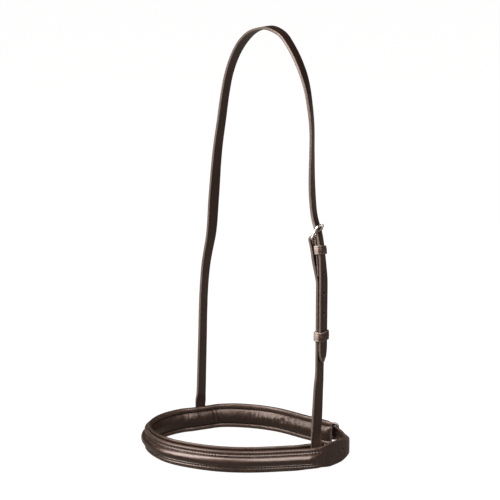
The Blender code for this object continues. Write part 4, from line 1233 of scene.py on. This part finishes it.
def tongue(tag, fr, bar_n, rail_t, rail_n, half_w, body, cad):
    pb, wb, ob_, ub = fr(0.0, bar_n)
    rm = BAR_R + 0.2 + 0.6
    raw = []
    for i in range(12):
        a = math.radians(-310 + 330 * i / 11.0)
        raw.append(pb + rm * (math.cos(a) * ub + math.sin(a) * ob_))
    dn = rail_n - bar_n
    rest = dn + BAR_R + 0.12 + 0.6
    for t, n in ((4.5, 2.4), (5.8, 4.9), (6.9, 7.4), (HOLE_T + 2.0, rest - 1.15), (rail_t - 0.8, rest), (rail_t + 2.8, rest + 0.15)):
        raw.append(fr(t, bar_n + n)[0])
    raw = np.array(raw)
    # soften between the given points
    u = np.r_[0, np.cumsum(np.linalg.norm(np.diff(raw, axis=0), axis=1))]
    x = np.linspace(0, u[-1], 70)
    pts = np.array([[np.interp(v, u, raw[:, i]) for i in range(3)] for v in x])
    for _ in range(6):
        pts[1:-1] = pts[1:-1] * 0.5 + (pts[:-2] + pts[2:]) * 0.25

    def sec(i, n):
        g = i / (n - 1)
        w = half_w * (1.0 - 0.32 * smooth(0.72, 1.0, g))
        h = 0.62
        tipf = math.sqrt(max(0.05, 1 - smooth(0.955, 1.02, g)))
        w, h = w * tipf, h * tipf
        q = []
        for j in range(12):
            a = 2 * math.pi * (j + 0.5) / 12
            c, s = math.cos(a), math.sin(a)
            q.append((w * math.copysign(abs(c) ** 0.6, c), h * math.copysign(abs(s) ** 0.7, s)))
        return q
    # the jaw tongue gets the darker steel copy: painted shade
    ob = tube(tag + "_buckle_tongue_wire", list(pts), wb, sec, False, M_SHADED_STEEL if tag == "jaw" else M_STEEL, body)
    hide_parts(cad)
    return ob


buckle("head", near, HEAD_BAR_N, HEAD_RAIL_T, HEAD_RAIL_N, HEAD_W / 2 + 0.5, BAR_R * 0.9, "head_buckle", "head_buckle_frame")
tongue("head", near, HEAD_BAR_N, HEAD_RAIL_T, HEAD_RAIL_N, 1.2, "head_tongue", "head_buckle_tongue")
buckle("jaw", jaw, JAW_BAR_N, JAW_RAIL_T, JAW_RAIL_N, JAW_W / 2 + 0.4, BAR_R * 0.9, "jaw_buckle", "jaw_buckle_frame")
tongue("jaw", jaw, JAW_BAR_N, JAW_RAIL_T, JAW_RAIL_N, 1.2, "jaw_tongue", "jaw_buckle_tongue")


# ---------------------------------------------------------------- keepers
def keeper(name, fr, t0, n_lo, n_hi, half_w, body, cad, tall=KEEPER_H, skew=0.0):
    """Leather loop with rounded corners, domed walls, burnished rims, and a painted highlight: pale colour on part of
    its two side walls.
    """
    k = KEEPER_T
    r = 0.7
    path = []
    cx, cy = half_w - r, (n_hi - n_lo) / 2 - r
    mid = (n_lo + n_hi) / 2
    for sx, sy, a0 in ((1, 1, 0), (-1, 1, 90), (-1, -1, 180), (1, -1, 270)):
        for i in range(7):
            a = math.radians(a0 + 15 * i)
            path.append((sx * cx + r * math.cos(a), mid + sy * cy + r * math.sin(a), math.cos(a), math.sin(a)))
        nx = {0: 8, 90: 5, 180: 8, 270: 5}[a0]
        ends = {0: (-cx, mid + cy + r, 0, 1), 90: (-cx - r, mid - cy, -1, 0), 180: (cx, mid - cy - r, 0, -1), 270: (cx + r, mid + cy, 1, 0)}[a0]
        x0, y0, dx, dy = path[-1]
        for i in range(1, nx):
            u = i / nx
            path.append((x0 + (ends[0] - x0) * u, y0 + (ends[1] - y0) * u, ends[2], ends[3]))
    prof = []
    hh = tall
    for tt, dd, e in ((0.5, 0.0, 0.2), (0.05, 0.25, 1.0), (0.0, 0.6, 1.0), (0.12, 1.02, 0.9), (0.5, 1.26, 0.5), (1.3, 1.30, 0.05),
                      (1.75, 1.18, 0.0), (2.2, 1.33, 0.0), (hh / 2, 1.42, 0.0), (hh - 2.2, 1.33, 0.0), (hh - 1.75, 1.18, 0.0), (hh - 1.3, 1.30, 0.05),
                      (hh - 0.5, 1.26, 0.5), (hh - 0.12, 1.02, 0.9), (hh, 0.6, 1.0), (hh - 0.05, 0.25, 1.0), (hh - 0.5, 0.0, 0.2), (hh / 2, 0.0, 0.0)):
        prof.append((tt, dd, e))
    verts, ed = [], []
    for x, y, dx, dy in path:
        for tt, dd, e in prof:
            q = fr(t0 + tt - skew * x, y + dy * dd, x + dx * dd)[0]
            verts.append(q)
            # pale rims, and pale colour on part of the side walls as a painted highlight
            ed.append(max(0.35 * e, smooth(0.9, 0.995, abs(dx)) * (1 - smooth(0.52, 0.72, (y - n_lo) / (n_hi - n_lo)))))
    ob = build(name, np.array(verts), ring_faces(len(path), len(prof), True), M_KEEP, ed, angle=60)
    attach(ob, body)
    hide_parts(cad)


hw = HEAD_W / 2 + 0.4
keeper("head_fixed_keeper_loop", near, -16.4, -4.55, HEAD_T / 2 + 0.4, hw, "noseband", "head_fixed_keeper", 8.8, 0.13)
slide_t = -(station_at_height(HEAD, 141.5) - BAR_S) - KEEPER_H / 2
keeper("head_runner_loop", near, slide_t, -3.6 - HEAD_T / 2 - 0.4, HEAD_T / 2 + 0.4, hw, "head_runner", "head_sliding_keeper")
jw = JAW_W / 2 + 0.4
keeper("jaw_front_keeper_loop", jaw, -9.5 - KEEPER_H, 4.45, BILLET_N(-9.5) + STRAP_T / 2 + 0.5, jw, "noseband", "jaw_front_keeper")
keeper("jaw_rear_keeper_loop", jaw, -49.5 - KEEPER_H, 4.45, BILLET_N(-50) + STRAP_T / 2 + 0.6, jw, "noseband", "jaw_rear_keeper")

# ---------------------------------------------------------------- sealed filling
def filler_cord():
    """Twisted cord under the roll of the raised leather."""
    verts = []
    k = 20
    n0 = STRAP_T + GAP * 0.4
    for s in np.arange(COVER_FAR + 10, COVER_NEAR - 20, 1.2):
        q = min(roll_amount(s), 1.0)
        h = max(q * (ROLL_R - 0.55) - 0.35, 0.3)
        p, up, out = band(s, n0 + 0.15 + h / 2)
        ring = []
        for j in range(k):
            a = 2 * math.pi * j / k
            ply = 1 - 0.05 * abs(math.sin(1.5 * a + s * 0.9))
            ring.append(p + 2.55 * ply * math.cos(a) * up + h / 2 * ply * math.sin(a) * out)
        verts.append(ring)
    ob = build("roll_filler_cord_body", np.vstack(verts), ring_faces(len(verts), k), M_FILL, angle=60)
    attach(ob, "noseband")
    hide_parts("roll_filler_cord")


def padding():
    """Soft felt strip inside the lining."""
    verts = []
    zs = [7.6, 6.4, 4.8, 2.5, 0.0, -2.5, -4.8, -6.4, -7.6]
    for s in np.arange(PAD_FAR + 17, NEAR_ATT - 3, 2.0):
        p, up, out = band(s, -GAP - soft_room(s))
        top = [max(pad_hollow(s, z) - 0.3, 0.35) for z in zs]
        ring = [p + z * up - 0.18 * out for z in zs]
        ring += [p + z * up - d * out for z, d in reversed(list(zip(zs, top)))]
        verts.append(ring)
    ob = build("lining_padding_body", np.vstack(verts), ring_faces(len(verts), len(verts[0])), M_FILL, angle=60)
    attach(ob, "noseband")
    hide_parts("lining_padding")


filler_cord()
padding()

# ---------------------------------------------------------------- floor, light, camera
bm = bmesh.new()
k = 48
R = 6.0
vs = [bm.verts.new((R * math.cos(2 * math.pi * i / k), R * math.sin(2 * math.pi * i / k), -0.0002)) for i in range(k)]
bm.faces.new(vs)
me = bpy.data.meshes.new("floor")
bm.to_mesh(me)
bm.free()
floor = bpy.data.objects.new("floor", me)
bpy.context.scene.collection.objects.link(floor)
mat, nt, b = nodes_of("pale_floor")
b.inputs["Base Color"].default_value = (0.05, 0.05, 0.05, 1)
b.inputs["Roughness"].default_value = 0.9
b.inputs["Specular IOR Level"].default_value = 0.0
lpc = node(nt, "ShaderNodeLightPath")
nt.links.new(mix(nt, lpc.outputs["Is Camera Ray"], (1.0, 0.76, 0.62), (1.0, 1.0, 1.0)), b.inputs["Emission Color"])
lpf = node(nt, "ShaderNodeLightPath")
seen_by = node(nt, "ShaderNodeMix", data_type="FLOAT")
nt.links.new(lpf.outputs["Is Camera Ray"], seen_by.inputs[0])
seen_by.inputs[2].default_value = 0.16
seen_by.inputs[3].default_value = 0.98
nt.links.new(seen_by.outputs[0], b.inputs["Emission Strength"])
me.materials.append(mat)

scene = bpy.context.scene
scene.view_settings.view_transform = "Standard"
scene.view_settings.look = "None"
world = bpy.data.worlds.new("studio")
scene.world = world
world.use_nodes = True
wt = world.node_tree
wt.nodes.clear()
wo = wt.nodes.new("ShaderNodeOutputWorld")
tc = wt.nodes.new("ShaderNodeTexCoord")
dot = wt.nodes.new("ShaderNodeVectorMath")
dot.operation = "DOT_PRODUCT"
dot.inputs[1].default_value = (0.70, -0.70, 0.14)    # towards the bright front of the room
wt.links.new(tc.outputs["Generated"], dot.inputs[0])
mr = wt.nodes.new("ShaderNodeMapRange")
mr.interpolation_type = "SMOOTHSTEP"
mr.inputs["From Min"].default_value = -0.6
mr.inputs["From Max"].default_value = 0.6
mr.inputs["To Min"].default_value = 0.045
mr.inputs["To Max"].default_value = 0.36
wt.links.new(dot.outputs["Value"], mr.inputs["Value"])
lit = wt.nodes.new("ShaderNodeBackground")
wt.links.new(mr.outputs[0], lit.inputs["Strength"])
lit.inputs["Color"].default_value = (1.0, 0.77, 0.63, 1)
seen = wt.nodes.new("ShaderNodeBackground")
seen.inputs["Strength"].default_value = 1.0
lp = wt.nodes.new("ShaderNodeLightPath")
ms = wt.nodes.new("ShaderNodeMixShader")
wt.links.new(lp.outputs["Is Camera Ray"], ms.inputs[0])
wt.links.new(lit.outputs[0], ms.inputs[1])
wt.links.new(seen.outputs[0], ms.inputs[2])
wt.links.new(ms.outputs[0], wo.inputs[0])


def area(name, loc, target, size, power, size_y=None, shape="RECTANGLE"):
    l = bpy.data.lights.new(name, "AREA")
    l.energy = power
    l.color = (1.0, 0.905, 0.85)
    l.shape = shape
    l.size = size
    l.size_y = size_y or size
    o = bpy.data.objects.new(name, l)
    o.location = loc
    o.rotation_mode = "QUATERNION"
    o.rotation_quaternion = (Vector(loc) - Vector(target)).to_track_quat("Z", "Y")
    scene.collection.objects.link(o)
    return o


def softbox(name, az, el, dist, width, height, radiance, shape="ELLIPSE"):
    """Soft light aimed at the noseband from azimuth az and elevation el (degrees)."""
    a, e = math.radians(az), math.radians(el)
    loc = (dist * math.cos(e) * math.cos(a), dist * math.cos(e) * math.sin(a), 0.12 + dist * math.sin(e))
    area(name, loc, (0, 0, 0.12), width, radiance * math.pi * width * height * (math.pi / 4 if shape == "ELLIPSE" else 1.0), height, shape)


softbox("left_softbox", -108, 40, 1.6, 0.95, 2.3, 9.5, "RECTANGLE")
softbox("right_softbox", -22, 46, 1.6, 1.05, 2.4, 6.4)
softbox("rear_softbox", 160, 42, 1.8, 0.9, 0.9, 1.2)


def photo_camera():
    phi = math.radians(45)
    c = np.array([math.cos(phi), -math.sin(phi), 0.0])
    r = np.array([math.sin(phi), math.cos(phi), 0.0])
    d, scale = 1.9, 1.06e-3
    pos = c * d + np.array([0, 0, d * math.tan(math.radians(20))])
    p = 0.1
    for _ in range(60):
        fwd = -c * math.cos(p) - UP * math.sin(p)
        up = np.cross(r, fwd)
        depth = float((-pos) @ fwd)
        f = depth / scale
        yy = 250 - f * float((-pos) @ up) / depth
        p -= (437.4 - yy) / f
    fwd = -c * math.cos(p) - UP * math.sin(p)
    up = np.cross(r, fwd)
    depth = float((-pos) @ fwd)
    f = depth / scale
    pos = pos - r * ((247 - 250) * depth / f)
    pos = pos + np.array([CENTRE[0] * MM, CENTRE[1] * MM, (12.7 + LIFT) * MM])
    cam = bpy.data.cameras.new("camera")
    cam.sensor_width = 36.0
    cam.lens = f / 500 * 36.0
    cam.clip_start, cam.clip_end = 0.05, 20
    ob = bpy.data.objects.new("camera", cam)
    m = Matrix(((r[0], up[0], -fwd[0], pos[0]), (r[1], up[1], -fwd[1], pos[1]), (r[2], up[2], -fwd[2], pos[2]), (0, 0, 0, 1)))
    ob.matrix_world = m
    scene.collection.objects.link(ob)
    scene.camera = ob


photo_camera()
